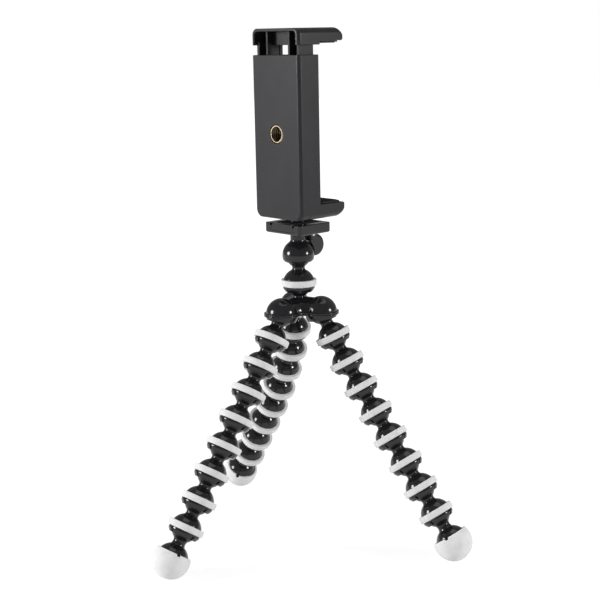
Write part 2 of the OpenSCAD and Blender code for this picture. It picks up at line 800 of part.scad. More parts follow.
module base_pad() {
    color(pad_black) on_clamp() translate([0, 0, seat_gap - base_pad_t]) difference() {
        linear_extrude(base_pad_t - 2 * seat_gap)
            round_rect([-base_pad_w / 2, -base_pad_l / 2], [base_pad_w / 2, base_pad_l / 2], tray_corner);
        translate([0, 0, -overrun]) cylinder(r = insert_bore_r, h = base_pad_t + 2 * overrun);
    }
}

// Brass sleeve with a blind end
module rear_insert() {
    color(brass) on_clamp() difference() {
        depth_bar(insert_r, 0, -clamp_back, insert_l - clamp_back, rear_insert_z);
        depth_bar(insert_bore_r, 0, -clamp_back - overrun, insert_l + overrun - clamp_back,
                  rear_insert_z);
    }
}

module bottom_insert() {
    color(brass) on_clamp() difference() {
        cylinder(r = insert_r, h = insert_l);
        translate([0, 0, -overrun]) cylinder(r = insert_bore_r, h = insert_l + 2 * overrun);
    }
}

module lower_spring_pin() {
    end = cavity_x + spring_pin_hold;
    color(steel) on_clamp() cross_bar(spring_pin_r, -end, end, spring_y, lower_pin_z);
}

module spring_at(x) {
    color(steel) on_clamp() translate([x, spring_y, spring_low]) difference() {
        cylinder(r = spring_r, h = spring_high - spring_low);
        translate([0, 0, -overrun])
            cylinder(r = spring_r - spring_wire, h = spring_high - spring_low + 2 * overrun);
    }
}

module left_spring() {
    spring_at(-spring_x);
}

module right_spring() {
    spring_at(spring_x);
}

// Jaw with its hollow back, and the ribbed tongue that runs in the body
module sliding_jaw() {
    pocket_top = clamp_top - jaw_skin;
    color(clamp_grey) on_clamp() difference() {
        union() {
            difference() {
                intersection() {
                    across(clamp_w) {
                        translate([-clamp_back, skirt_z])
                            square([clamp_back + skirt_front, jaw_h - brow_r / 2]);
                        jaw_side_outline(-clamp_back, clamp_front, jaw_under, clamp_top,
                                         tip_r, brow_r);
                    }
                    along(-clamp_back, clamp_front)
                        face_outline(clamp_x, skirt_z, clamp_top, jaw_corner, true);
                    translate([0, 0, skirt_z]) linear_extrude(jaw_h)
                        plan_outline(-clamp_back, clamp_front);
                }
                along(-clamp_back - overrun, tongue_inner) face_outline(
                    clamp_x - jaw_wall, skirt_z - overrun, pocket_top, jaw_corner - jaw_skin, true);
            }
            block([-tongue_x, tongue_inner, tongue_z], [tongue_x, tongue_front, jaw_under]);
            for (side = [-1, 1]) {
                edge = side > 0 ? tongue_x - tongue_wall : -tongue_x;
                block([edge, tongue_back, tongue_z],
                      [edge + tongue_wall, tongue_front, skirt_z + tongue_wall]);
                rib = side * rib_x - rib_t / 2;
                block([rib, tongue_back, tongue_z], [rib + rib_t, tongue_front, pocket_top + jaw_skin / 2]);
            }
            block([-rib_x, web_back, skirt_z], [rib_x, tongue_front, pocket_top + jaw_skin / 2]);
        }
        block([-slot_w / 2, tongue_back, skirt_z - slot_h], [slot_w / 2, 0, skirt_z]);
        cross_bar(spring_pin_r + seat_gap, -tongue_x - overrun, tongue_x + overrun,
                  spring_y, upper_pin_z);
    }
}

module upper_jaw_pad() {
    jaw_pad(jaw_under - jaw_pad_t);
}

// Short pins that hold the springs between the tongue's ribs and walls
module upper_spring_pins() {
    pin_in = rib_x - rib_t / 2;
    pin_out = tongue_x - slide_gap;
    color(steel) on_clamp() {
        cross_bar(spring_pin_r, pin_in, pin_out, spring_y, upper_pin_z);
        cross_bar(spring_pin_r, -pin_out, -pin_in, spring_y, upper_pin_z);
    }
}

for (leg = [0 : len(LEGS) - 1]) {
    for (i = [0 : ringed_links - 1])
        leg_link(leg, i);
    foot_link(leg);
    foot_cap(leg);
}
hub_top();
hub_bottom();
hub_screw();
neck_link();
neck_ring();
head_tray();
lever_pin();
release_lever();
quick_plate();
plate_pad();
mount_screw();
clamp_body();
front_cover();
cover_screws();
back_pad();
lower_jaw_pad();
base_pad();
rear_insert();
bottom_insert();
lower_spring_pin();
left_spring();
right_spring();
sliding_jaw();
upper_jaw_pad();
upper_spring_pins();
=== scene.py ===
"""Flexible tripod with ball-and-socket legs, a ball head, a quick release tray and a sprung clamp.

Every new piece is a grid of points worked out with numpy, in millimetres, and put into the frame
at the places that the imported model's joints and boxes give.
"""
import json
import logging
import math
from dataclasses import dataclass, field
from enum import Enum
from typing import Any, Callable, Iterable, Mapping, Sequence, Union

import bmesh
import bpy
import numpy as np
from mathutils import Matrix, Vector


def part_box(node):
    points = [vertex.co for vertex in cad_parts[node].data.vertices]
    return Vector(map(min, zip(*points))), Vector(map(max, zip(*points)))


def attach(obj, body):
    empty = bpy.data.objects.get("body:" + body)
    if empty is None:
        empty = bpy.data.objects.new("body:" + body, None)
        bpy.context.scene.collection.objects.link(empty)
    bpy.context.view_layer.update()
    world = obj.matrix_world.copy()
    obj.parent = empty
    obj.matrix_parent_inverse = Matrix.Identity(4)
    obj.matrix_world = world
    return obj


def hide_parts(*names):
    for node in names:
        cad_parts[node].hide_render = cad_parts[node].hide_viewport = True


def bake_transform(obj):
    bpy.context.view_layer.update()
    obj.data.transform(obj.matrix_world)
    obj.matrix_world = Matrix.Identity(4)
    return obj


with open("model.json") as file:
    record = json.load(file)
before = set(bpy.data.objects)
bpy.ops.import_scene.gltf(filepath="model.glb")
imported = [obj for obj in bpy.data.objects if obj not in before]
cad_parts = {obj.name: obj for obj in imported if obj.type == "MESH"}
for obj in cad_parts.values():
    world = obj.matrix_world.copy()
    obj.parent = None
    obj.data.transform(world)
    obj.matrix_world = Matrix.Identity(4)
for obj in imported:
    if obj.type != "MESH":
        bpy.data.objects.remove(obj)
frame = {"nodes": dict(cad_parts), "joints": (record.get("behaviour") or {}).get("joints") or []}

Array = np.ndarray
Number = Union[float, "Value"]
Colour = tuple[float, float, float]
MM = 0.001
MERGE = MM / 1000
THIN = MM / 5000
CREASE = math.radians(32.0)
LEAST_CORNER = 0.02
LEAST_SIDE = 0.01
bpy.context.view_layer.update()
LOG = logging.getLogger("tripod")
JOINTS = {joint["name"]: joint for joint in frame["joints"]}
TURN = 2 * math.pi


# Places and grids of points

@dataclass(frozen=True)
class Place:
    """A piece's own axes in the frame: an origin in millimetres and three unit vectors."""

    origin: Array
    x: Array
    y: Array
    z: Array

    def put(self, points: Array) -> Array:
        """Moves points from the piece's axes to the frame: origin + x X + y Y + z Z."""
        return (self.origin + points[..., 0:1] * self.x + points[..., 1:2] * self.y
                + points[..., 2:3] * self.z)

    def raised(self, height: float) -> "Place":
        """The same axes, with the origin moved along z."""
        return Place(self.origin + height * self.z, self.x, self.y, self.z)

    def shifted(self, x: float, y: float, z: float) -> "Place":
        """The same axes, with the origin moved by x, y and z of its own."""
        return Place(self.put(np.array([x, y, z], float)), self.x, self.y, self.z)

    def leaned(self, angle: float) -> "Place":
        """The axes turned about their own y axis by an angle in radians."""
        c, s = math.cos(angle), math.sin(angle)
        return Place(self.origin, c * self.x - s * self.z, self.y, s * self.x + c * self.z)

    def spun(self, angle: float) -> "Place":
        """The axes turned about their own z axis by an angle in radians."""
        c, s = math.cos(angle), math.sin(angle)
        return Place(self.origin, c * self.x + s * self.y, c * self.y - s * self.x, self.z)


def joint_point(name: str) -> Array:
    """A joint's place in millimetres.

    Args:
        name: The joint's name in the record.

    Returns:
        Its three coordinates.
    """
    return np.array(JOINTS[name]["pos_m"], float) / MM


def upright(origin: Array) -> Place:
    """A place whose axes are the frame's own."""
    return Place(np.asarray(origin, float), *np.eye(3))


def along(start: Array, end: Array) -> Place:
    """A leg link's place: z points back from the end to the start, and y lies level.

    Args:
        start: The ball's centre.
        end: The next ball's centre.

    Returns:
        The place, with its origin at the start.
    """
    heading = (end - start) / np.linalg.norm(end - start)
    level = np.array([-heading[1], heading[0], 0.0])
    level /= np.linalg.norm(level)
    return Place(start, np.cross(level, -heading), level, -heading)


def columns(count: int) -> Array:
    """Evenly spaced angles round a full turn."""
    return np.arange(count) * TURN / count


def turned(profile: Array, angles: Array) -> Array:
    """A profile turned round z: each point (r, z) becomes the circle (r cos a, r sin a, z).

    Args:
        profile: Radii and heights, one row each.
        angles: The angles of the columns.

    Returns:
        A grid of points, profile rows by angle columns.
    """
    r, z = profile[:, 0:1], profile[:, 1:2]
    return np.stack([r * np.cos(angles), r * np.sin(angles), z + 0 * angles], axis=-1)


def arc(centre: tuple[float, float], radius: float, start: float, end: float, count: int) -> Array:
    """Points on a circle, from one angle to another in degrees.

    Args:
        centre: The circle's centre.
        radius: Its radius.
        start: The first angle.
        end: The last angle.
        count: How many points.

    Returns:
        The points, one row each.
    """
    a = np.radians(np.linspace(start, end, count))
    return np.stack([centre[0] + radius * np.cos(a), centre[1] + radius * np.sin(a)], axis=-1)


def waist(start: Sequence[float], pull: Sequence[float], end: Sequence[float], count: int) -> Array:
    """A quadratic curve: (1-t)(1-t) start + 2t(1-t) pull + tt end, with t from 0 to 1.

    Args:
        start: Its first point.
        pull: The point that it bends towards.
        end: Its last point.
        count: How many points.

    Returns:
        The points, one row each.
    """
    t = np.linspace(0, 1, count)[:, None]
    return ((1 - t) ** 2 * np.asarray(start) + 2 * t * (1 - t) * np.asarray(pull)
            + t ** 2 * np.asarray(end))


def rounded_rect(low: Sequence[float], high: Sequence[float], low_r: float, high_r: float,
                 count: int = 8) -> Array:
    """A rectangle with four quarter circles for corners, counter-clockwise.

    Args:
        low: Its lowest corner.
        high: Its highest corner.
        low_r: The radius of its two lower corners.
        high_r: The radius of its two upper corners.
        count: How many points each corner has.

    Returns:
        The outline, one point a row.
    """
    room = max(min(high[0] - low[0], high[1] - low[1]) / 2 - LEAST_SIDE, LEAST_SIDE / 2)
    low_r, high_r = (min(max(r, LEAST_CORNER), room) for r in (low_r, high_r))
    corners = (((low[0] + low_r, low[1] + low_r), low_r, 180),
               ((high[0] - low_r, low[1] + low_r), low_r, 270),
               ((high[0] - high_r, high[1] - high_r), high_r, 0),
               ((low[0] + high_r, high[1] - high_r), high_r, 90))
    return np.concatenate([arc(c, r, a, a + 90, count) for c, r, a in corners])


class Axis(Enum):
    """The axis that an outline is carried along; its own two directions keep their order."""

    X = (1, 2, 0)
    Y = (0, 2, 1)
    Z = (0, 1, 2)

    def stand(self, outline: Array, station: float) -> Array:
        """Puts a flat outline at a station of this axis.

        Args:
            outline: Two coordinates a row.
            station: The third one, the same for all.

        Returns:
            The points, one row each.
        """
        points = np.full((len(outline), 3), station, float)
        points[:, self.value[:2]] = outline
        return points


@dataclass(frozen=True)
class Edge:
    """A rounded edge: over a quarter turn the outline comes out from its inset to its full size."""

    radius: float = 0.3
    steps: int = 4
    support: float = 0.12

    def levels(self) -> list[tuple[float, float]]:
        """The rounding's rings: r (1 - sin v) in and r (1 - cos v) deep, over a quarter turn.

        Returns:
            Inset and depth of each ring, from the flat face inwards to the full outline.
        """
        a = np.linspace(0, math.pi / 2, self.steps + 1)
        rings = [(self.radius * (1 - math.sin(v)), self.radius * (1 - math.cos(v))) for v in a]
        return [(self.radius + self.support, 0.0)] + rings


CRISP = Edge(0.05, 1, 0.02)
MOULDED = Edge(0.15, 2, 0.06)
PADDED = Edge(0.15, 2, 0.08)


def carried(outline: Callable[[float, float], Array], axis: Axis, start: float, end: float,
            first: Edge = Edge(), last: Edge = Edge(), between: Sequence[float] = ()) -> Array:
    """An outline carried along an axis, drawn in at both ends by a rounded edge.

    Args:
        outline: Gives the outline for an inset and a station.
        axis: The axis of travel.
        start: The first station.
        end: The last station.
        first: The edge at the start.
        last: The edge at the end.
        between: Stations of full size between the two edges.

    Returns:
        A grid of points, one ring a row.
    """
    rings = [(inset, start + depth) for inset, depth in first.levels()]
    rings += [(0.0, station) for station in between]
    rings += [(inset, end - depth) for inset, depth in reversed(last.levels())]
    return np.stack([axis.stand(outline(inset, station), station) for inset, station in rings])


def slab(low: Sequence[float], high: Sequence[float], axis: Axis, corner: float = 0.3,
         edge: Edge = Edge(), high_corner: float | None = None) -> Array:
    """A block with rounded corners and edges.

    Args:
        low: Its lowest corner in space.
        high: Its highest corner in space.
        axis: The axis that its outline is carried along.
        corner: The radius of the outline's lower corners.
        edge: The rounding of its two end faces.
        high_corner: The radius of the outline's upper corners, if they differ.

    Returns:
        A grid of points.
    """
    u, v, w = axis.value
    upper = corner if high_corner is None else high_corner

    def outline(inset: float, station: float) -> Array:
        """The rectangle, drawn in by the inset on every side."""
        return rounded_rect((low[u] + inset, low[v] + inset), (high[u] - inset, high[v] - inset),
                            corner - inset, upper - inset)

    return carried(outline, axis, low[w], high[w], edge, edge)


def rod(radius: float, start: float, end: float, chamfer: float = 0.0, count: int = 48) -> Array:
    """A round bar along z with bevelled ends, as a turned profile with closed poles.

    Args:
        radius: Its radius.
        start: Its lower end.
        end: Its upper end.
        chamfer: The bevel's size.
        count: How many columns it has.

    Returns:
        A grid of points.
    """
    profile = np.array([[0, start], [radius - chamfer, start], [radius, start + chamfer],
                        [radius, end - chamfer], [radius - chamfer, end], [0, end]], float)
    return turned(profile, columns(count))


def laid(points: Array, axis: Axis) -> Array:
    """Turns a grid drawn round z so that its z lies along another axis, without mirroring it.

    Args:
        points: The grid.
        axis: Where its z goes.

    Returns:
        The grid with its coordinates in their new order.
    """
    x, y, z = points[..., 0], points[..., 1], points[..., 2]
    order = {Axis.X: (z, x, y), Axis.Y: (y, z, x), Axis.Z: (x, y, z)}[axis]
    return np.stack(order, axis=-1)


class Surface:
    """A mesh in the making: closed shells, each one a grid of rings joined into quads."""

    def __init__(self) -> None:
        """Starts with no shell."""
        self.points: list[Array] = []
        self.faces: list[list[int]] = []
        self.values: list[Array] = []
        self.total = 0

    def add(self, grid: Array, place: Place | None = None, loop: bool = False,
            value: Array | None = None) -> "Surface":
        """Adds a shell.

        A face joins (i, j), (i, j+1), (i+1, j+1) and (i+1, j), and the first and last rings are
        closed by one face each. The shell's volume is the sum of its triangles' triple products
        over six; where it is below zero, the faces are turned over.

        Args:
            grid: Rings by points by three coordinates.
            place: Where the shell's own axes lie, or None if it is in the frame already.
            loop: Whether the last ring is joined to the first instead of closed by faces.
            value: A number for each point, kept as the attribute "lane".

        Returns:
            This surface.
        """
        rings, count = grid.shape[:2]
        points = (grid if place is None else place.put(grid)).reshape(-1, 3)
        index = np.arange(rings * count).reshape(rings, count)
        low = index if loop else index[:-1]
        high = np.roll(index, -1, axis=0) if loop else index[1:]
        quads = np.stack([low, np.roll(low, -1, axis=1), np.roll(high, -1, axis=1), high],
                         axis=-1).reshape(-1, 4)
        faces = quads.tolist()
        middle = points.mean(axis=0)
        corner = points[quads] - middle
        volume = (np.cross(corner[:, 0], corner[:, 1]) * corner[:, 2]
                  + np.cross(corner[:, 0], corner[:, 2]) * corner[:, 3]).sum()
        if not loop:
            faces += [index[0, ::-1].tolist(), index[-1].tolist()]
            for ring, sign in ((points[index[0]], -1), (points[index[-1]], 1)):
                ring = ring - middle
                volume += sign * (np.cross(ring[0], ring[1:-1]) * ring[2:]).sum()
        if volume < 0:
            faces = [face[::-1] for face in faces]
        self.faces += [[v + self.total for v in face] for face in faces]
        self.points.append(points)
        self.values.append(np.zeros(len(points)) if value is None else value.reshape(-1))
        self.total += len(points)
        return self

    def mesh(self, name: str) -> bpy.types.Mesh:
        """The mesh in metres, with poles and doubled points merged.

        Args:
            name: The mesh's name.

        Returns:
            The mesh.
        """
        mesh = bpy.data.meshes.new(name)
        mesh.from_pydata((np.concatenate(self.points) * MM).tolist(), [], self.faces)
        lane = mesh.attributes.new("lane", "FLOAT", "POINT")
        lane.data.foreach_set("value", np.concatenate(self.values).astype(np.float32))
        tidy(mesh)
        return mesh


def tidy(mesh: bpy.types.Mesh) -> None:
    """Merges doubled points and removes empty faces and loose points.

    Args:
        mesh: The mesh that is cleaned.
    """
    work = bmesh.new()
    work.from_mesh(mesh)
    bmesh.ops.remove_doubles(work, verts=work.verts, dist=MERGE)
    bmesh.ops.dissolve_degenerate(work, edges=work.edges, dist=THIN)
    loose = [v for v in work.verts if not v.link_faces]
    bmesh.ops.delete(work, geom=loose, context="VERTS")
    work.to_mesh(mesh)
    work.free()
    mesh.update()


def shown(name: str, data: bpy.types.ID) -> bpy.types.Object:
    """A new object in the scene.

    Args:
        name: Its name.
        data: Its mesh, lamp or camera.

    Returns:
        The object.
    """
    made = bpy.data.objects.new(name, data)
    bpy.context.scene.collection.objects.link(made)
    return made


class Carve(Enum):
    """What a step of a solid does to it."""

    CUT = "DIFFERENCE"
    JOIN = "UNION"


class Solid:
    """A shell that others are cut from and joined to, in order."""

    def __init__(self, base: Array, place: Place) -> None:
        """Starts from one shell and the axes that it is drawn in.

        Args:
            base: The shell's grid.
            place: Its own axes, which later shells share.
        """
        self.place = place
        self.base = Surface().add(base, place)
        self.steps: list[tuple[Carve, Surface]] = []

    def then(self, carve: Carve, *grids: Array, place: Place | None = None) -> "Solid":
        """Adds one step for each shell.

        Args:
            carve: What the step does.
            grids: The shells it does it with.
            place: Their axes, where they aren't the solid's own.

        Returns:
            This solid.
        """
        self.steps += [(carve, Surface().add(grid, place or self.place)) for grid in grids]
        return self

    def mesh(self, name: str) -> bpy.types.Mesh:
        """Runs the steps as Boolean modifiers of the manifold kind and applies them.

        Args:
            name: The mesh's name.

        Returns:
            The finished mesh.
        """
        made = [shown(name, self.base.mesh(name))]
        for number, (carve, surface) in enumerate(self.steps):
            tool = shown(f"{name}_tool_{number}", surface.mesh(f"{name}_{number}"))
            made.append(tool)
            step = made[0].modifiers.new(f"step_{number}", "BOOLEAN")
            step.operation, step.solver, step.object = carve.value, "MANIFOLD", tool
        bpy.context.view_layer.update()
        graph = bpy.context.evaluated_depsgraph_get()
        mesh = bpy.data.meshes.new_from_object(made[0].evaluated_get(graph))
        for item in made:
            data = item.data
            bpy.data.objects.remove(item)
            bpy.data.meshes.remove(data)
        mesh.name = name
        tidy(mesh)
        return mesh


# Shader maths and finishes

class Value:
    """A socket with Python's operators: each one adds a Math node."""

    def __init__(self, graph: "Graph", socket: bpy.types.NodeSocket) -> None:
        """Wraps one output of a node of a graph."""
        self.graph = graph
        self.socket = socket

    def _math(self, operation: str, first: Number, second: Number = 0.0) -> "Value":
        """The result of one Math node."""
        node = self.graph.node("Math", {"operation": operation}, {0: first, 1: second})
        return Value(self.graph, node.outputs[0])

    def __add__(self, other: Number) -> "Value":
        """self + other."""
        return self._math("ADD", self, other)

    def __radd__(self, other: Number) -> "Value":
        """other + self."""
        return self._math("ADD", other, self)

    def __sub__(self, other: Number) -> "Value":
        """self - other."""
        return self._math("SUBTRACT", self, other)

    def __rsub__(self, other: Number) -> "Value":
        """other - self."""
        return self._math("SUBTRACT", other, self)

    def __mul__(self, other: Number) -> "Value":
        """self * other."""
        return self._math("MULTIPLY", self, other)

    def __rmul__(self, other: Number) -> "Value":
        """other * self."""
        return self._math("MULTIPLY", other, self)

    def __pow__(self, other: Number) -> "Value":
        """self to the power of other."""
        return self._math("POWER", self, other)

    def least(self, limit: Number) -> "Value":
        """The lesser of the value and the limit."""
        return self._math("MINIMUM", self, limit)

    def wave(self) -> "Value":
        """The sine of the value."""
        return self._math("SINE", self)


class Graph:
    """One material's nodes, with a Principled BSDF already joined to the output."""

    def __init__(self, name: str, constants: Mapping[str, Any]) -> None:
        """Makes the material.

        Args:
            name: The material's name.
            constants: The shader's own socket values.
        """
        self.material = bpy.data.materials.new(name)
        self.material.use_nodes = True
        self.tree = self.material.node_tree
        self.tree.nodes.clear()
        self.shader = self.node("BsdfPrincipled", {}, constants)
        self.output = self.node("OutputMaterial", {}, {"Surface": self.shader.outputs[0]})

    def node(self, kind: str, settings: Mapping[str, Any] | None = None,
             inputs: Mapping[Any, Any] | None = None) -> bpy.types.Node:
        """Adds a node.

        Args:
            kind: The node's type without its ShaderNode prefix.
            settings: Its properties; "stops" gives a ramp's positions and colours.
            inputs: Values or links of its sockets, by name or number.

        Returns:
            The node.
        """
        node = self.tree.nodes.new("ShaderNode" + kind)
        for key, value in (settings or {}).items():
            if key == "stops":
                ramp = node.color_ramp.elements
                while len(ramp) < len(value):
                    ramp.new(0.5)
                for element, (position, colour) in zip(ramp, value):
                    element.position, element.color = position, (*colour, 1.0)
            else:
                setattr(node, key, value)
        for key, value in (inputs or {}).items():
            value = value.socket if isinstance(value, Value) else value
            if isinstance(value, bpy.types.NodeSocket):
                self.tree.links.new(value, node.inputs[key])
            elif isinstance(value, tuple) and len(value) == 3 and node.inputs[key].type == "RGBA":
                node.inputs[key].default_value = (*value, 1.0)
            else:
                node.inputs[key].default_value = value
        return node

    def feed(self, socket: str, value: "Value | bpy.types.NodeSocket") -> None:
        """Links a value to one of the shader's sockets."""
        source = value.socket if isinstance(value, Value) else value
        self.tree.links.new(source, self.shader.inputs[socket])

    def place(self) -> bpy.types.NodeSocket:
        """Object coordinates, which stay with the piece."""
        return self.node("TexCoord").outputs["Object"]

    def lane(self) -> Value:
        """The piece's own attribute, such as the height along a ring."""
        return Value(self, self.node("Attribute", {"attribute_name": "lane"}).outputs["Fac"])

    def noise(self, size_mm: float, detail: float = 2.0, stretch: Sequence[float] = (1, 1, 1)
              ) -> Value:
        """Noise whose grain has about this size.

        Args:
            size_mm: The grain's size in millimetres.
            detail: How many finer octaves it has.
            stretch: How much closer it is packed along each axis.

        Returns:
            A value from 0 to 1, with its middle at 0.5.
        """
        mapping = self.node("Mapping", {}, {"Vector": self.place(), "Scale": tuple(stretch)})
        node = self.node("TexNoise", {}, {"Vector": mapping.outputs[0], "Scale": 1 / (size_mm * MM),
                                          "Detail": detail, "Roughness": 0.55})
        return Value(self, node.outputs[0])

    def ramp(self, value: Value, stops: Sequence[tuple[float, Sequence[float]]]
             ) -> bpy.types.NodeSocket:
        """A colour for each value, between the stops."""
        return self.node("ValToRGB", {"stops": stops}, {0: value}).outputs[0]

    def bump(self, height: Value, depth_mm: float, after: bpy.types.NodeSocket | None = None
             ) -> bpy.types.NodeSocket:
        """A normal bent by a height.

        Args:
            height: The height, from 0 to 1.
            depth_mm: How deep the full height is.
            after: A normal that is bent already.

        Returns:
            The new normal.
        """
        inputs: dict[str, Any] = {"Height": height, "Distance": depth_mm * MM, "Strength": 1.0}
        if after is not None:
            inputs["Normal"] = after
        return self.node("Bump", {}, inputs).outputs[0]


@dataclass(frozen=True)
class MouldedPlastic:
    """Moulded plastic: a fine grain, and a gloss that varies a little with handling."""

    name: str
    slot: str
    dark: Colour
    light: Colour
    roughness: float
    roughness_swing: float
    grain_mm: float
    grain_depth: float
    specular: float
    coat: float = 0.0
    coat_roughness: float = 0.12
    cloud_mm: float = 9.0
    smear_mm: float = 4.0

    def build(self) -> bpy.types.Material:
        """A clouded colour, a smeared gloss and a grain.

        Returns:
            The plastic's material.
        """
        graph = Graph(self.name, {"Specular IOR Level": self.specular, "Coat Weight": self.coat,
                                  "Coat Roughness": self.coat_roughness})
        cloud = graph.noise(self.cloud_mm)
        graph.feed("Base Color", graph.ramp(cloud, [(0.3, self.dark), (0.7, self.light)]))
        smear = graph.noise(self.smear_mm, 4.0, (1.0, 1.0, 0.4))
        graph.feed("Roughness", (smear - 0.5) * self.roughness_swing + self.roughness)
        graph.feed("Normal", graph.bump(graph.noise(self.grain_mm), self.grain_depth))
        return graph.material


@dataclass(frozen=True)
class WhiteRubber:
    """Off-white rubber: matte, slightly dusty, with fine mould lines along a ring's lane."""

    name: str = "white_rubber_skin"
    slot: str = "white_rubber"
    clean: Colour = (0.82, 0.82, 0.825)
    dusty: Colour = (0.74, 0.74, 0.745)
    specular: float = 0.35
    roughness: float = 0.52
    roughness_rise: float = 0.2
    dust_mm: float = 3.0
    lines: float = 7.0
    line_depth: float = 0.03
    grain_mm: float = 0.25
    grain_depth: float = 0.012

    def build(self) -> bpy.types.Material:
        """Dust, a grain, and mould lines, each a dip in the squared sine of the lane.

        Returns:
            The rubber's material.
        """
        graph = Graph(self.name, {"Specular IOR Level": self.specular})
        dust = graph.noise(self.dust_mm, 5.0)
        graph.feed("Base Color", graph.ramp(dust, [(0.35, self.clean), (0.75, self.dusty)]))
        graph.feed("Roughness", dust * self.roughness_rise + self.roughness)
        line = (graph.lane() * (TURN * self.lines)).wave() ** 2.0
        grain = graph.bump(graph.noise(self.grain_mm), self.grain_depth)
        graph.feed("Normal", graph.bump(line, self.line_depth, grain))
        return graph.material


@dataclass(frozen=True)
class PadRubber:
    """Black pad rubber with a fine cross grain."""

    name: str = "pad_rubber_skin"
    slot: str = "pad_rubber"
    dark: Colour = (0.012, 0.012, 0.013)
    light: Colour = (0.024, 0.024, 0.026)
    specular: float = 0.3
    roughness: float = 0.6
    roughness_rise: float = 0.2
    cloud_mm: float = 2.0
    grain_mm: float = 0.2
    grain_depth: float = 0.02

    def build(self) -> bpy.types.Material:
        """A clouded colour and gloss, and a grain.

        Returns:
            The rubber's material.
        """
        graph = Graph(self.name, {"Specular IOR Level": self.specular})
        cloud = graph.noise(self.cloud_mm, 4.0)
        graph.feed("Base Color", graph.ramp(cloud, [(0.3, self.dark), (0.7, self.light)]))
        graph.feed("Roughness", cloud * self.roughness_rise + self.roughness)
        graph.feed("Normal", graph.bump(graph.noise(self.grain_mm), self.grain_depth))
        return graph.material


@dataclass(frozen=True)
class TurnedMetal:
    """Metal from a lathe: rings round an axis, seen in its gloss and bump.

    Where a piece's lane is 1, as in a threaded bore, the metal is painted dark: painted shade for
    the light that doesn't reach into the bore.
    """

    name: str
    slot: str
    bright: Colour
    dull: Colour
    roughness: float
    stretch: tuple[float, float, float] = (1.0, 1.0, 6.0)
    roughness_rise: float = 0.25
    # How dark the painted shade in a bore is, as a share of the dull colour; the turning marks'
    # darkest tone takes it too.
    bore_shade: float = 0.2
    mark_mm: float = 1.2
    grain_mm: float = 0.3
    grain_depth: float = 0.008

    def build(self) -> bpy.types.Material:
        """Marks drawn out round the axis, painted shade in the bore by the lane, and a grain.

        Returns:
            The metal's material.
        """
        graph = Graph(self.name, {"Metallic": 1.0})
        marks = graph.noise(self.mark_mm, 4.0, self.stretch)
        bore_shade = tuple(channel * self.bore_shade for channel in self.dull)
        # Lane 1 pulls the colour down to the darkest stop: painted shade in the bore.
        graph.feed("Base Color", graph.ramp(marks - graph.lane() * 0.5, [
            (0.1, bore_shade), (0.3, self.dull), (0.65, self.bright)]))
        graph.feed("Roughness", marks * self.roughness_rise + (self.roughness - 0.12))
        graph.feed("Normal", graph.bump(graph.noise(self.grain_mm, 3.0, self.stretch),
                                        self.grain_depth))
        return graph.material


Finish = Union[MouldedPlastic, WhiteRubber, PadRubber, TurnedMetal]

LINK_PLASTIC = MouldedPlastic("link_plastic_skin", "shell_plastic", (0.010, 0.010, 0.011),
                              (0.012, 0.012, 0.014), 0.14, 0.05, 0.6, 0.003, 0.4)
CLAMP_PLASTIC = MouldedPlastic("clamp_plastic_skin", "clamp_plastic", (0.010, 0.010, 0.012),
                               (0.014, 0.014, 0.017), 0.36, 0.08, 0.35, 0.006, 0.25, 0.08)
WHITE_RUBBER = WhiteRubber()
PAD_RUBBER = PadRubber()
BRASS = TurnedMetal("insert_brass_skin", "insert_brass", (0.58, 0.48, 0.35), (0.44, 0.34, 0.22),
                    0.30, (1.0, 6.0, 1.0))
STEEL = TurnedMetal("plain_steel_skin", "plain_steel", (0.62, 0.63, 0.65), (0.42, 0.43, 0.45), 0.32)


class Workshop:
    """Makes the objects: hangs each on its body's empty, gives it its finish's material, and hides
    the nodes that it stands for.
    """

    def __init__(self) -> None:
        """Starts with no material and no piece made."""
        self.materials: dict[str, bpy.types.Material] = {}
        self.count = 0

    def material(self, finish: Finish) -> bpy.types.Material:
        """The finish's material, made once.

        Args:
            finish: The finish.

        Returns:
            The material.
        """
        if finish.name not in self.materials:
            self.materials[finish.name] = finish.build()
        return self.materials[finish.name]

    def piece(self, name: str, body: str, finish: Finish, shape: Surface | Solid,
              nodes: Iterable[str] = ()) -> None:
        """Makes one piece that rides on a body.

        Args:
            name: The piece's name.
            body: The body that it rides on.
            finish: Its finish.
            shape: Its surface or solid.
            nodes: The nodes that it stands for.
        """
        mesh = shape.mesh(name)
        mesh.materials.clear()
        mesh.materials.append(self.material(finish))
        mesh.shade_smooth()
        mesh.set_sharp_from_angle(angle=CREASE)
        made = shown(name, mesh)
        if isinstance(shape, Solid):
            made.modifiers.new("flat_faces", "WEIGHTED_NORMAL").keep_sharp = True
        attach(made, body)
        if nodes:
            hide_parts(*nodes)
        self.count += 1
        LOG.info("%s on %s: %d faces", name, body, len(mesh.polygons))

    def dress(self, node: str, finish: Finish) -> None:
        """Gives a node that stays as it is a procedural material.

        Args:
            node: The node's name.
            finish: Its finish.
        """
        kept = frame["nodes"][node]
        if not kept.material_slots:
            kept.data.materials.append(self.material(finish))
        for slot in kept.material_slots:
            slot.material = self.material(finish)
        LOG.info("%s keeps its shape", node)


# Legs

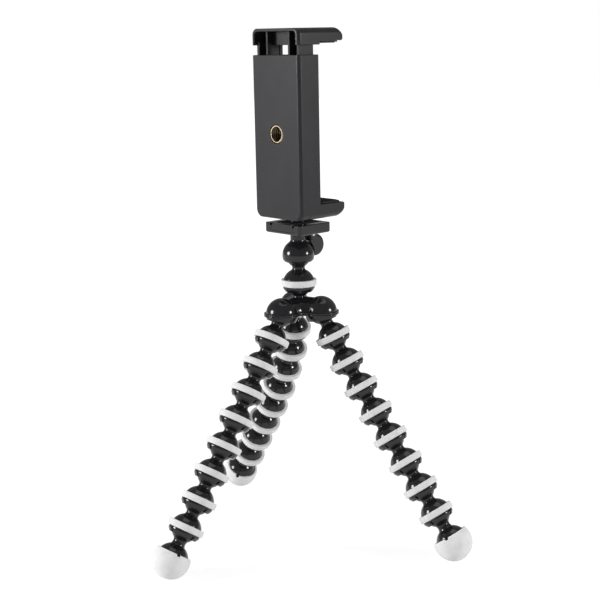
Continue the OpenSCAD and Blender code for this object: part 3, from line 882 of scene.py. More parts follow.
@dataclass
class Link:
    """A link: ball, waist, domed socket with a ringed groove, and a rim slit in four places."""

    pitch: float
    ball_r: float = 5.67
    neck_r: float = 2.82
    waist_r: float = 3.2
    dome_r: float = 6.9
    cavity_r: float = 5.75
    band_r: float = 7.12
    band_bevel: float = 0.1
    band_round: float = 1.5
    band_drop: float = 1.15
    bevel_r: float = 6.2
    rim_h: float = 3.1
    rim_edge: float = 0.28
    face_in: float = 0.1
    lip_w: float = 0.35
    lip_h: float = 0.2
    lip_mid_w: float = 0.17
    lip_mid_h: float = 0.05
    slit_w: float = 0.8
    slit_top: float = 1.4
    slit_in: float = 0.02
    slit_draft: float = 0.03
    slits: int = 4
    ring_h: float = 2.8
    ring_rise: float = 0.8
    ring_seat: float = 6.5
    ring_r: float = 7.98
    ring_round: float = 0.34
    ring_crown: float = 0.05
    ring_tuck: float = 0.02
    groove_gap: float = 0.03

    def groove(self) -> tuple[float, float]:
        """The groove's top and bottom, above and below the socket's middle."""
        half = self.ring_h / 2 + self.groove_gap
        return self.ring_rise + half, self.ring_rise - half

    def upper_profile(self, middle: float, dome_r: float, low: float, count: int) -> Array:
        """Ball from its pole to the waist, the waist, and the dome down to a level.

        Args:
            middle: The height of the dome's middle.
            dome_r: The dome's radius.
            low: How far above its middle the dome ends.
            count: How many points the dome has.

        Returns:
            Radii and heights from the ball's centre.
        """
        lean = math.degrees(math.asin(self.waist_r / self.ball_r))
        ball = arc((0, 0), self.ball_r, 90, lean - 90, 22)
        top = math.degrees(math.acos(self.waist_r / dome_r))
        dome = arc((0, middle), dome_r, top, math.degrees(math.asin(low / dome_r)), count)
        pull = (2 * self.neck_r - self.waist_r, (ball[-1, 1] + dome[0, 1]) / 2)
        return np.concatenate([ball[:-1], waist(ball[-1], pull, dome[0], 7), dome[1:]])

    def cavity_at(self, drop: float) -> float:
        """The cavity's radius some way below its middle: sqrt(R R - drop drop)."""
        return math.sqrt(self.cavity_r ** 2 - drop ** 2)

    def profile(self) -> list[Array]:
        """The shell's profile away from the slits, in four parts.

        Returns:
            The upper side, the groove and the rim's outside, the rim's end face, and the cavity.
        """
        base = -self.pitch
        top, under = self.groove()
        low, mouth_r = base - self.rim_h, self.cavity_at(self.rim_h)
        edge, seat, bevel = self.rim_edge, self.ring_seat - self.groove_gap, self.band_bevel
        upper = self.upper_profile(base, self.dome_r, top, 14)
        band = arc((self.band_r - self.band_round, base - self.band_drop), self.band_round, 0, -36,
                   6)
        outer = np.concatenate([
            [[seat, base + top], [seat, base + under], [self.band_r - bevel, base + under],
             [self.band_r, base + under - bevel]],
            band, arc((self.bevel_r - edge, low + edge), edge, -10, -90, 5)])
        face = np.array([[self.bevel_r - edge - self.face_in, low], [mouth_r + self.lip_w, low],
                         [mouth_r + self.lip_mid_w, low + self.lip_mid_h]])
        start = -math.degrees(math.asin((self.rim_h - self.lip_h) / self.cavity_r))
        return [upper, outer, face, arc((0, base), self.cavity_r, start, 90, 18)]

    def slit_profile(self, parts: Sequence[Array]) -> Array:
        """The profile inside a slit: every point below the slit's top is raised to it.

        Outer points then keep the rim's radius, inner ones take the cavity's radius there, and
        those of the rim's end face are spread between the two.

        Args:
            parts: The four parts of the profile away from the slits.

        Returns:
            Radii and heights.
        """
        mouth_r, slit_r = self.cavity_at(self.rim_h), self.cavity_at(self.slit_top)
        slit_z, wide = -self.pitch - self.slit_top, self.band_r - self.slit_in
        spread = (parts[2][:, 0] - mouth_r) / (self.bevel_r - mouth_r)
        radii = (parts[0][:, 0], wide, slit_r + spread * (wide - slit_r), slit_r)
        return np.concatenate([
            np.stack([np.where(rows[:, 1] < slit_z, radius, rows[:, 0]),
                      np.maximum(rows[:, 1], slit_z)], axis=-1)
            for rows, radius in zip(parts, radii)])

    def shell(self) -> Array:
        """The link without its ring: rows follow the profile and columns the angle.

        Each slit has three columns of its own profile, between two of the plain one.

        Returns:
            A grid of points in the link's own axes.
        """
        parts = self.profile()
        half = self.slit_w / 2 / ((self.band_r + self.cavity_at(self.rim_h)) / 2)
        draft = self.slit_draft / self.band_r
        share = TURN / self.slits
        sides = np.array([-half - draft, -half + draft, 0.0, half - draft, half + draft])
        rest = np.linspace(half + draft, share - half - draft, 18)[1:-1]
        stretch = np.concatenate([sides, rest])
        angles = np.concatenate([stretch + k * share for k in range(self.slits)])
        in_slit = np.tile(np.isin(np.arange(len(stretch)), (1, 2, 3)), self.slits)
        return np.where(in_slit[None, :, None], turned(self.slit_profile(parts), angles),
                        turned(np.concatenate(parts), angles))

    def ring(self) -> tuple[Array, Array]:
        """The rubber ring: a flat band with rounded edges and a slight crown.

        Returns:
            A looped grid of points, and each point's height along the band from 0 to 1.
        """
        half, r, k = self.ring_h / 2, self.ring_round, self.ring_crown
        crown = np.array([[self.ring_r + k * (1 - (z / half) ** 2) - k, z]
                          for z in np.linspace(half - r, r - half, 7)])
        profile = np.concatenate([
            [[self.ring_seat, self.ring_tuck - half], [self.ring_seat, half - self.ring_tuck]],
            arc((self.ring_r - k - r, half - r), r, 90, 0, 5)[:-1], crown,
            arc((self.ring_r - k - r, r - half), r, 0, -90, 5)[1:]])
        middle = self.ring_rise - self.pitch
        profile[:, 1] += middle
        grid = turned(profile, columns(84))
        lane = (profile[:, 1:2] - middle) / self.ring_h + 0.5
        return grid, np.repeat(lane, grid.shape[1], axis=1)

    def build(self, shop: Workshop, names: Sequence[str], body: str, place: Place,
              nodes: Sequence[Sequence[str]]) -> None:
        """Makes the link's two pieces.

        Args:
            shop: Makes the objects.
            names: The names of the shell and the ring.
            body: The body that they ride on.
            place: The link's own axes.
            nodes: The nodes that each of them stands for.
        """
        band, lane = self.ring()
        shop.piece(names[0], body, LINK_PLASTIC, Surface().add(self.shell(), place), nodes[0])
        shop.piece(names[1], body, WHITE_RUBBER,
                   Surface().add(band, place, loop=True, value=lane), nodes[1])


@dataclass
class Foot:
    """The last link: its dome ends on a rubber cap, and a tab on it dips into the cap's edge."""

    link: Link
    tab_angle: float
    pitch: float = 13.8
    foot_r: float = 8.3
    dome_r: float = 7.15
    dome_rise: float = 0.15
    dome_gap: float = 0.12
    edge: float = 3.2
    wall: float = 1.8
    tab_w: float = 1.7
    tab_h: float = 0.6
    tab_soft: float = 0.5
    tab_out: float = 0.06
    bead: float = 0.1
    bead_drop: float = 1.2
    bead_half: float = 0.8
    bead_foot: float = 1.3
    rim_turn: float = 1.4
    give_low: float = 2.6
    give_h: float = 2.4
    give_more: float = 0.05

    def tab_share(self, angles: Array) -> Array:
        """How much of the tab's depth each column has: 1 in its middle, falling off smoothly.

        Args:
            angles: The angles of the columns.

        Returns:
            A share from 0 to 1 for each.
        """
        turn = angles - math.radians(self.tab_angle)
        off = np.abs((turn + math.pi) % TURN - math.pi) * self.foot_r
        return np.clip((self.tab_w / 2 + self.tab_soft / 2 - off) / self.tab_soft, 0, 1)

    def upper(self) -> Array:
        """The black part: ball, waist, dome, a tab at the dome's edge, and the plug's top.

        Returns:
            A grid of points in the link's own axes.
        """
        angles = columns(180) + math.radians(self.tab_angle)
        middle = self.dome_rise - self.pitch
        edge_z = self.edge - self.pitch
        dome = self.link.upper_profile(middle, self.dome_r, edge_z + self.dome_gap - middle, 12)
        r = dome[-1, 0]
        profile = np.concatenate([dome, [[r + 0.03, edge_z - 0.02], [r - 0.15, edge_z - 0.25],
                                         [r - 0.9, edge_z - 0.3], [0, edge_z - 0.3]]])
        grid = turned(profile, angles)
        dip = self.tab_share(angles)
        reach = math.sqrt(self.foot_r ** 2 - (self.edge - self.tab_h) ** 2) + self.tab_out
        for row, share in ((-5, 0.75), (-4, 1.0), (-3, 1.0)):
            grid[row, :, 2] -= dip * self.tab_h * share
            out = 1 + dip * share * (reach / np.hypot(grid[row, :, 0], grid[row, :, 1]) - 1)
            grid[row, :, :2] *= out[:, None]
        return grid

    def cap(self) -> tuple[Array, Array]:
        """The rubber cap: most of a ball, with a thin raised line a little under its edge.

        The cap's edge is lowered where the tab dips into it.

        Returns:
            A grid of points and a lane value of 0 for each, so that it has no mould lines.
        """
        angles = columns(180) + math.radians(self.tab_angle)
        level = math.degrees(math.asin(self.edge / self.foot_r))
        line = math.degrees(math.asin((self.edge - self.bead_drop) / self.foot_r))
        middle = (0, -self.pitch)
        rim_r = self.foot_r * math.cos(math.radians(level))
        z = self.edge - self.pitch
        inner = self.foot_r - self.wall
        top = [[rim_r - 0.02, z - 0.06], [rim_r - 0.14, z], [inner + 0.4, z - 0.02],
               [inner + 0.2, z - 0.2], [inner + 0.15, z - 1.6], [0, z - 1.6]]
        half, foot = self.bead_half, self.bead_foot
        profile = np.concatenate([arc(middle, self.foot_r, -90, line - foot, 34),
                                  arc(middle, self.foot_r + self.bead, line - half, line + half, 3),
                                  arc(middle, self.foot_r, line + foot, level - self.rim_turn, 5),
                                  top])
        grid = turned(profile, angles)
        dip = self.tab_share(angles) * (self.tab_h + self.give_more)
        drop = np.clip((grid[..., 2] - (z - self.give_low)) / self.give_h, 0, 1) * dip[None, :]
        lowered = grid[..., 2] - drop
        outside = np.arange(len(profile)) < len(profile) - 4
        flare = np.sqrt(np.maximum(self.foot_r ** 2 - (lowered + self.pitch) ** 2, 0.01))
        now = np.hypot(grid[..., 0], grid[..., 1])
        share = np.where((outside[:, None]) & (drop > 0), flare / np.maximum(now, 0.01), 1.0)
        grid[..., :2] *= share[..., None]
        grid[..., 2] = lowered
        return grid, np.zeros(grid.shape[:2])

    def build(self, shop: Workshop, name: str, place: Place) -> None:
        """Makes the foot's two pieces.

        Args:
            shop: Makes the objects.
            name: The foot's body, with which its nodes' names begin.
            place: The foot's own axes.
        """
        cap, flat = self.cap()
        shop.piece(f"{name}_dome", name, LINK_PLASTIC, Surface().add(self.upper(), place),
                   [f"{name}_link"])
        shop.piece(f"{name}_boot", name, WHITE_RUBBER, Surface().add(cap, place, value=flat),
                   [f"{name}_cap"])


@dataclass
class Leg:
    """One leg: eight ringed links and a foot, strung along the frame's own joints."""

    name: str
    tab_angle: float
    pitch: float = 12.75
    links: int = 8
    link: Link = field(init=False)
    foot: Foot = field(init=False)

    def __post_init__(self) -> None:
        """Makes the link and the foot that the leg repeats."""
        self.link = Link(self.pitch)
        self.foot = Foot(self.link, self.tab_angle)

    def places(self) -> list[Place]:
        """Each link's place; the foot's tilt brings its middle to its radius above the floor.

        Returns:
            The links' places from the hub down, and the foot's.
        """
        points = [joint_point(f"{self.name}_bend_{i + 1}") for i in range(self.links + 1)]
        places = [along(a, b) for a, b in zip(points, points[1:])]
        drop = (points[-1][2] - self.foot.foot_r) / self.foot.pitch
        level = places[-1].z[:2] / np.linalg.norm(places[-1].z[:2])
        out = -level * math.sqrt(1 - drop ** 2)
        return places + [along(points[-1], points[-1] + np.array([*out, -drop]))]

    def build(self, shop: Workshop) -> None:
        """Makes the leg's pieces.

        Args:
            shop: Makes the objects.
        """
        *places, last = self.places()
        for i, place in enumerate(places, 1):
            node = f"{self.name}_leg_link_{i}"
            self.link.build(shop, (f"{node}_shell", f"{node}_ring"), f"{self.name}_link_{i}", place,
                            ([node], ()))
        self.foot.build(shop, f"{self.name}_foot", last)


# Hub and neck

def soft_max(a: Array, b: Array | float, soft: float) -> Array:
    """The greater of two values, with a rounded meeting.

    It is (a + b + sqrt((a - b)(a - b) + soft soft)) / 2.

    Args:
        a: The first values.
        b: The second ones.
        soft: How wide the meeting is.

    Returns:
        The greater values.
    """
    return (a + b + np.sqrt((a - b) ** 2 + soft ** 2)) / 2


@dataclass
class Hub:
    """Two halves round the three leg balls: domes above, collars below, a lip between them."""

    reach: float = 10.2
    turn: float = 28.0
    splay: float = 10.0
    cavity_r: float = 5.75
    dome_r: float = 7.1
    arm_r: float = 6.3
    blend: float = 0.6
    lip_w: float = 0.8
    lip_h: float = 0.7
    lip_round: float = 0.25
    lip_blend: float = 0.5
    gap: float = 0.03
    stud_rise: float = 12.0
    ball_r: float = 5.7
    neck_r: float = 2.75
    boss_r: float = 5.3
    boss_low: float = 2.0
    collar_h: float = 3.1
    collar_in: float = 0.55
    collar_edge: float = 0.35
    flare_h: float = 0.8
    flare_top_r: float = 5.2
    flare_r: float = 5.65
    screw_head_r: float = 2.25
    screw_head_h: float = 1.36
    screw_edge: float = 0.45
    cross_half: float = 0.32
    cross_arm: float = 1.3
    cross_deep: float = 0.62

    def lobes(self) -> Array:
        """The angles of the three arms."""
        return np.radians(self.turn + np.arange(3) * 120.0)

    def lip_outline(self, angles: Array) -> Array:
        """The lip's radius at each angle.

        Each lobe is a circle seen from the hub's axis: reach cos d + sqrt(R R - (reach sin d)
        (reach sin d)), where d is the angle from the arm. Beside it the arm's straight side gives
        half / sin d. The greatest of all is taken, with rounded meetings.

        Args:
            angles: The angles.

        Returns:
            The radii.
        """
        circle, half = self.dome_r + self.lip_w, self.arm_r + self.lip_w
        best = np.zeros_like(angles)
        for lobe in self.lobes():
            off = (angles - lobe + math.pi) % TURN - math.pi
            inside = np.maximum(circle ** 2 - (self.reach * np.sin(off)) ** 2, 0)
            ray = np.where(np.cos(off) > 0, self.reach * np.cos(off) + np.sqrt(inside), 0)
            ray = np.where(np.abs(self.reach * np.sin(off)) < circle, ray, 0)
            side = np.minimum(half / np.maximum(np.abs(np.sin(off)), 1e-3),
                              np.hypot(self.reach, half))
            side = np.where(np.cos(off) > 0, side, 0)
            best = soft_max(best, np.maximum(ray, side), self.lip_blend)
        return best

    def domes(self) -> Array:
        """The upper half's domes and arms, as distances along rays from the hub's middle.

        A ray in direction d leaves a lobe's ball, with middle c, at d.c + sqrt((d.c)(d.c) - c.c +
        R R). It leaves an arm at r / sin of its angle to it, cut off at the arm's end, or at r
        behind the arm. The greatest distance is taken, with rounded meetings.

        Returns:
            A grid of points: rings from the parting plane up to the pole, then the flat base.
        """
        rise = np.radians(90 * np.linspace(0, 1, 110) ** 1.25)[:, None]
        turn = columns(360)
        ray = np.stack([np.cos(rise) * np.cos(turn), np.cos(rise) * np.sin(turn),
                        np.sin(rise) + 0 * turn], axis=-1)
        best = np.full(ray.shape[:2], self.arm_r)
        for lobe in self.lobes():
            ahead = ray @ np.array([math.cos(lobe), math.sin(lobe), 0.0])
            inside = (ahead ** 2 - 1) * self.reach ** 2 + self.dome_r ** 2
            ball = np.where((inside > 0) & (ahead > 0),
                            ahead * self.reach + np.sqrt(np.maximum(inside, 0)), 0)
            side = self.arm_r / np.sqrt(np.maximum(1 - ahead ** 2, 1e-6))
            arm = np.minimum(side, self.reach / np.maximum(ahead, 1e-6))
            arm = np.where(ahead > 0, arm, self.arm_r)
            best = soft_max(best, np.maximum(ball, arm), self.blend)
        grid = best[..., None] * ray
        return np.concatenate([np.zeros((1, len(turn), 3)), grid])

    def lip(self, below: bool) -> Array:
        """A half's lip: a slab of the lip's outline with rounded edges.

        Args:
            below: Whether it lies under the parting plane.

        Returns:
            A grid of points.
        """
        angles = columns(360)
        outline = self.lip_outline(angles)
        r, h = self.lip_round, self.lip_h
        sweep = np.radians(np.linspace(0, 90, 6))
        rings = [(r, 0.0)] + [(r * (1 - math.sin(a)), r * (1 - math.cos(a))) for a in sweep[1:]]
        rings += [(inset, h - depth) for inset, depth in reversed(rings)]
        rings = [(outline.max(), 0.0)] + rings + [(outline.max(), h)]
        rows = []
        for inset, height in rings:
            edge = np.maximum(outline - inset, 0)
            rows.append(np.stack([edge * np.cos(angles), edge * np.sin(angles),
                                  np.full_like(edge, -height if below else height)], axis=-1))
        return np.stack(rows)

    def stud(self) -> Array:
        """The boss, neck and ball on the hub's top, as one turned profile.

        Returns:
            A grid of points.
        """
        lean = math.degrees(math.asin(self.neck_r / self.ball_r))
        ball = arc((0, self.stud_rise), self.ball_r, lean - 90, 90, 24)
        base, low = self.boss_r + 0.5, self.boss_low
        foot = waist((base, low + 1.0), (self.neck_r + 0.2, low + 3.4),
                     (self.neck_r, ball[0, 1] - 0.15), 12)
        return turned(np.concatenate([[[0, low], [base, low]], foot, ball]), columns(96))

    def balls(self) -> list[Array]:
        """The three leg sockets' cavities.

        Returns:
            A grid of points for each.
        """
        ball = turned(arc((0, 0), self.cavity_r, -90, 90, 30), columns(72))
        return [ball + self.reach * np.array([math.cos(a), math.sin(a), 0.0])
                for a in self.lobes()]

    def collar(self) -> Array:
        """A leg socket's collar: a short cylinder, drawn in towards a rounded lower edge.

        Returns:
            A grid of points in the collar's own axes.
        """
        r, h, e = self.dome_r, self.collar_h, self.collar_edge
        drawn = r - self.collar_in
        draw = waist((r, -0.9), (r, -1.7), (drawn, e - h), 6)
        profile = np.concatenate([[[0, -0.02], [r, -0.02]], draw,
                                  arc((drawn - e, e - h), e, 0, -90, 5)[1:],
                                  [[r - 2 * self.collar_in, -h], [0, -h]]])
        return turned(profile, columns(84))

    def flare(self) -> Array:
        """What is cut from a collar's mouth, so that a leg's neck can lean in it: a cone.

        Returns:
            A grid of points in the collar's own axes.
        """
        top, low = self.flare_h - self.collar_h, -self.collar_h - 0.1
        cone = [[0, top], [self.flare_top_r, top], [self.flare_r, low], [0, low]]
        return turned(np.array(cone), columns(72))

    def screw(self) -> Array:
        """The hub screw's pan head, with its rounded edge.

        Returns:
            A grid of points.
        """
        top, edge = -2 * self.lip_h - 2 * self.gap, self.screw_edge
        head = np.concatenate([[[0, top], [self.screw_head_r, top]],
                               arc((self.screw_head_r - edge, top - 0.85), edge, 0, -90, 6),
                               [[0, top - self.screw_head_h]]])
        return turned(head, columns(48))

    def build(self, shop: Workshop) -> None:
        """Makes the hub's pieces.

        Args:
            shop: Makes the objects.
        """
        place = upright(joint_point("neck_tilt") - [0, 0, self.stud_rise])
        top = Solid(self.domes(), place).then(Carve.JOIN, self.lip(False), self.stud())
        top.then(Carve.CUT, *self.balls())
        shop.piece("hub_domes", "hub", LINK_PLASTIC, top, ["hub_top"])
        low = place.raised(-self.gap)
        web = rod(self.reach / 2, -2 * self.lip_h, -0.1, 0.15, 72)
        bottom = Solid(self.lip(True), low).then(Carve.JOIN, web)
        seats = [low.spun(angle).shifted(self.reach, 0, 0).leaned(-math.radians(self.splay))
                 for angle in self.lobes()]
        for seat in seats:
            bottom.then(Carve.JOIN, self.collar(), place=seat)
        bottom.then(Carve.CUT, *self.balls(), place=place)
        bottom.then(Carve.CUT, slab((-30, -30, -0.001), (30, 30, 12), Axis.Z))
        for seat in seats:
            bottom.then(Carve.CUT, self.flare(), place=seat)
        shop.piece("hub_collars", "hub", LINK_PLASTIC, bottom, ["hub_bottom"])
        cross = Solid(self.screw(), place)
        deep = -2 * self.lip_h - self.screw_head_h
        size = (self.cross_half, self.cross_arm)
        for wide, long in (size, size[::-1]):
            cross.then(Carve.CUT, slab((-wide, -long, deep - 0.3),
                                       (wide, long, deep + self.cross_deep),
                                       Axis.Z, 0.05, Edge(0.04, 1, 0.02)))
        shop.piece("hub_screw_head", "hub", STEEL, cross, ["hub_screw"])


@dataclass
class Neck:
    """The ringed link between the hub's ball and the head."""

    link: Link = field(default_factory=lambda: Link(13.1, dome_r=7.25, ring_rise=1.0))

    def build(self, shop: Workshop) -> None:
        """Makes the neck's pieces.

        Args:
            shop: Makes the objects.
        """
        self.link.build(shop, ("neck_shell", "neck_band"), "neck",
                        upright(joint_point("head_tilt")), (["neck_link"], ["neck_ring"]))


# Head, lever and plate

@dataclass
class Head:
    """The ball socket under the quick release tray, and the tray with its dovetail channel."""

    socket_r: float = 7.1
    cavity_r: float = 5.75
    mouth: float = 2.7
    post_r: float = 3.4
    post_flare: float = 0.9
    rise: float = 10.3
    width: float = 22.8
    length: float = 18.9
    height: float = 4.5
    under_r: float = 1.0
    notch_x: float = 7.8
    notch_h: float = 1.1
    window: float = 2.4
    floor: float = 1.1
    stop: float = 1.4
    corner: float = 1.5
    dovetail: float = 15.2
    dovetail_in: float = 1.2
    pin_y: float = 6.0
    pin_r: float = 0.8
    ear_t: float = 1.2
    ear_x: float = 2.6
    slide_gap: float = 0.1

    def socket(self) -> Array:
        """The socket's shell and post: a ball that opens below and flares into the tray.

        Returns:
            A grid of points.
        """
        mouth_r = math.sqrt(self.cavity_r ** 2 - self.mouth ** 2)
        post, wide, rise = self.post_r, self.post_r + self.post_flare, self.rise
        leave = math.degrees(math.acos(wide / self.socket_r))
        skirt = [[mouth_r + 1.15, 0.12 - self.mouth], [mouth_r + 1.35, 0.4 - self.mouth],
                 [self.socket_r - 0.4, -2.05], [self.socket_r - 0.2, -1.7]]
        ball = arc((0, 0), self.socket_r, -10, leave, 22)
        neck = waist(ball[-1], (post, ball[-1, 1] + 0.55), (post, ball[-1, 1] + 1.5), 8)
        flare = waist((post, rise - self.post_flare), (post, rise - 0.1), (wide, rise + 0.05), 6)
        mouth_in = -math.degrees(math.asin((self.mouth - 0.2) / self.cavity_r))
        inner = arc((0, 0), self.cavity_r, 90, mouth_in, 20)
        lip = [[mouth_r + 0.2, 0.04 - self.mouth], [mouth_r + 0.3, -self.mouth],
               [mouth_r + 1.0, -self.mouth]]
        profile = np.concatenate([inner, lip, skirt, ball, neck[1:], flare,
                                  [[wide, rise + 0.6], [0, rise + 0.6]]])
        return turned(profile, columns(96))

    def channel(self, low: float, gap: float, start: float, end: float) -> Array:
        """The dovetail's outline carried along y: wide at its foot and narrow at its top.

        Args:
            low: Its foot's height above the tray's underside.
            gap: How far it is drawn in on each side.
            start: The first station.
            end: The last station.

        Returns:
            A grid of points above the head's ball centre.
        """
        wide = self.dovetail / 2 - gap
        narrow = wide - self.dovetail_in
        top = self.height + (2.0 if gap == 0 else 0.0)

        def outline(inset: float, station: float) -> Array:
            """Six corners; the upper two stand straight over the dovetail's narrow top.

            Args:
                inset: How far they are drawn in towards their middle.
                station: Not needed; the outline is the same all along.

            Returns:
                The outline, across and up.
            """
            corners = np.array([[-wide, low], [wide, low], [narrow, self.height - 0.3],
                                [narrow + 0.02, top], [-narrow - 0.02, top],
                                [-narrow, self.height - 0.3]], float)
            draw = 1 - inset / wide
            middle = np.array([0.0, (low + top) / 2])
            points = middle + (corners - middle) * [draw, 1 - 2 * inset / (top - low)]
            return points + [0, self.rise]

        edge = Edge(0.12, 2, 0.05)
        return carried(outline, Axis.Y, start, end, edge, edge)

    def tray(self) -> Array:
        """The tray's block: rounded in plan, more along its lower edges than its upper ones.

        Returns:
            A grid of points.
        """
        half, deep = self.width / 2, self.length / 2

        def outline(inset: float, station: float) -> Array:
            """The rounded rectangle, drawn in by the inset on every side."""
            return rounded_rect((inset - half, inset - deep), (half - inset, deep - inset),
                                self.corner - inset, self.corner - inset)

        return carried(outline, Axis.Z, self.rise, self.rise + self.height,
                       Edge(self.under_r, 6), Edge())

    def ear(self, x: float, pin_z: float) -> Array:
        """One of the lever's two ears: a tongue with a round end, hanging from the tray.

        Args:
            x: The ear's inner face.
            pin_z: The pin's height.

        Returns:
            A grid of points.
        """
        r = self.pin_r + self.ear_t

        def outline(inset: float, station: float) -> Array:
            """A half circle below and a square top inside the tray's floor.

            Args:
                inset: How far it is drawn in.
                station: Not needed; the outline is the same across the ear.

            Returns:
                The outline in depth and height.
            """
            low = arc((self.pin_y, pin_z), r - inset, 180, 360, 17)
            top = self.rise + 0.5
            return np.concatenate([low, [[self.pin_y + r - inset, top],
                                         [self.pin_y - r + inset, top]]])

        return carried(outline, Axis.X, x, x + self.ear_t, MOULDED, MOULDED)

    def build(self, shop: Workshop) -> None:
        """Makes the head's pieces.

        Args:
            shop: Makes the objects.
        """
        ball = joint_point("head_tilt")
        pin = joint_point("lever_turn") - ball
        place = upright(ball)
        tray = Solid(self.tray(), place)
        tray.then(Carve.JOIN, self.ear(-self.ear_x - self.ear_t, pin[2]),
                  self.ear(self.ear_x, pin[2]))
        end, top = self.length / 2 - self.stop, self.rise + self.height
        cut = self.channel(self.floor, 0.0, -self.length / 2 - 2, end)
        window = slab((-self.ear_x, pin[1] - self.window, self.rise - 3),
                      (self.ear_x, end, self.rise + 2), Axis.Z, 0.1, Edge(0.08, 1, 0.02))
        notch = slab((-self.notch_x, -self.length, top - self.notch_h),
                     (self.notch_x, end, top + 2), Axis.Y, 0.15, CRISP)
        tray.then(Carve.CUT, cut, window, notch)
        shop.piece("head_tray_block", "head", LINK_PLASTIC, tray, ["head_tray"])
        shop.piece("head_socket", "head", LINK_PLASTIC, Surface().add(self.socket(), place))
        length = self.ear_x + self.ear_t
        bar = laid(rod(self.pin_r, -length - 0.05, length + 0.05, 0.15), Axis.X)
        shop.piece("lever_pin_rod", "head", STEEL, Surface().add(bar + pin, place), ["lever_pin"])


@dataclass
class Lever:
    """The release lever: a cam on the pin and a round thumb disc below it."""

    width: float = 5.0
    cam_r: float = 2.2
    throw: float = 0.4
    thumb_r: float = 4.9
    out: float = 3.1
    drop: float = 5.2
    clear_r: float = 7.7
    pin_r: float = 0.85
    rounding: float = 1.3
    blend: float = 0.35

    def outline(self, inset: float, station: float) -> Array:
        """The lever seen from the side, as rays from the thumb disc's middle.

        Each ray ends on the disc, on the arm's side or on the cam's far side, whichever is
        farthest: R, half / |sin d|, or D cos d + sqrt(c c - (D sin d)(D sin d)).

        Args:
            inset: How far the outline is drawn in.
            station: Not needed; the outline is the same across the width.

        Returns:
            The outline in depth and height from the pin.
        """
        angles = columns(160)
        cam = np.array([0.0, self.throw])
        thumb = np.array([self.out, -self.drop])
        reach, aim = np.linalg.norm(cam - thumb), math.atan2(*(cam - thumb)[::-1])
        off = (angles - aim + math.pi) % TURN - math.pi
        sine = np.abs(np.sin(off))
        c, half = self.cam_r - inset, self.cam_r - self.throw - inset
        far = reach * np.cos(off) + np.sqrt(np.maximum(c ** 2 - (reach * sine) ** 2, 0))
        cam_ray = np.where((reach * sine < c) & (np.cos(off) > 0), far, 0)
        side = np.where(np.cos(off) > 0, half / np.maximum(sine, 0.02), 0)
        side = np.minimum(side, reach)
        ray = soft_max(np.maximum(cam_ray, side), self.thumb_r - inset, self.blend)
        return thumb + np.stack([ray * np.cos(angles), ray * np.sin(angles)], axis=-1)

    def build(self, shop: Workshop) -> None:
        """Makes the lever.

        Args:
            shop: Makes the objects.
        """
        pin = joint_point("lever_turn")
        ball = joint_point("head_tilt")
        half = self.width / 2
        domed = Edge(self.rounding, 9, 0.15)
        body = carried(self.outline, Axis.X, -half, half, domed, domed)
        hollow = laid(rod(self.clear_r, -8, 8, 0, 96), Axis.X)
        bore = laid(rod(self.pin_r, -8, 8, 0, 32), Axis.X)
        lever = Solid(body, upright(pin)).then(Carve.CUT, hollow, place=upright(ball))
        lever.then(Carve.CUT, bore)
        shop.piece("thumb_lever", "lever", LINK_PLASTIC, lever, ["release_lever"])


@dataclass
class Plate:
    """The quick release plate with its boss, and the camera screw through it."""

    head: Head
    boss_r: float = 4.0
    boss_h: float = 1.95
    bore_gap: float = 0.05
    seat_gap: float = 0.1
    seat_h: float = 1.3
    recess: tuple[float, float, float] = (5.5, 7.5, 0.6)
    screw_r: float = 3.12
    screw_head_r: float = 5.2
    screw_head_h: float = 1.1
    screw_bevel: float = 0.15
    slot_half: float = 0.7
    slot_h: float = 0.6
    tip: float = 5.4
    tip_bevel: float = 0.5

    def build(self, shop: Workshop) -> None:
        """Makes the plate's and the screw's pieces.

        Args:
            shop: Makes the objects.
        """
        place = upright(joint_point("head_tilt"))
        head = self.head
        end = head.length / 2 - head.stop - head.slide_gap
        body = head.channel(head.floor + head.slide_gap, head.slide_gap, -head.length / 2, end)
        top = head.rise + head.height
        boss = rod(self.boss_r, top - 1.0, top + self.boss_h, 0.2, 72)
        bore = rod(self.screw_r + self.bore_gap, head.rise - 2, top + 4, 0, 48)
        seat = rod(self.screw_head_r + self.seat_gap, head.rise - 2,
                   head.rise + head.floor + self.seat_h, 0, 72)
        x, y, deep = self.recess
        recess = slab((-x, -y, top - deep), (x, y, top + 3), Axis.Z, 0.3)
        plate = Solid(body, place).then(Carve.CUT, recess)
        plate.then(Carve.JOIN, boss).then(Carve.CUT, bore, seat)
        shop.piece("release_plate", "plate", LINK_PLASTIC, plate, ["quick_plate"])
        low = joint_point("screw_turn")
        length = joint_point("clamp_turn")[2] - low[2] + self.tip
        head_r, head_h, bevel = self.screw_head_r, self.screw_head_h, self.screw_bevel
        profile = np.array([[0, 0], [head_r - bevel, 0], [head_r, bevel],
                            [head_r, head_h - bevel], [head_r - bevel, head_h],
                            [self.screw_r, head_h], [self.screw_r, length - self.tip_bevel],
                            [self.screw_r - self.tip_bevel, length], [0, length]])
        screw = Solid(turned(profile, columns(72)), upright(low))
        screw.then(Carve.CUT, slab((-7, -self.slot_half, -1), (7, self.slot_half, self.slot_h),
                                   Axis.X, 0.1))
        shop.piece("camera_screw", "screw", STEEL, screw, ["mount_screw"])


# Clamp

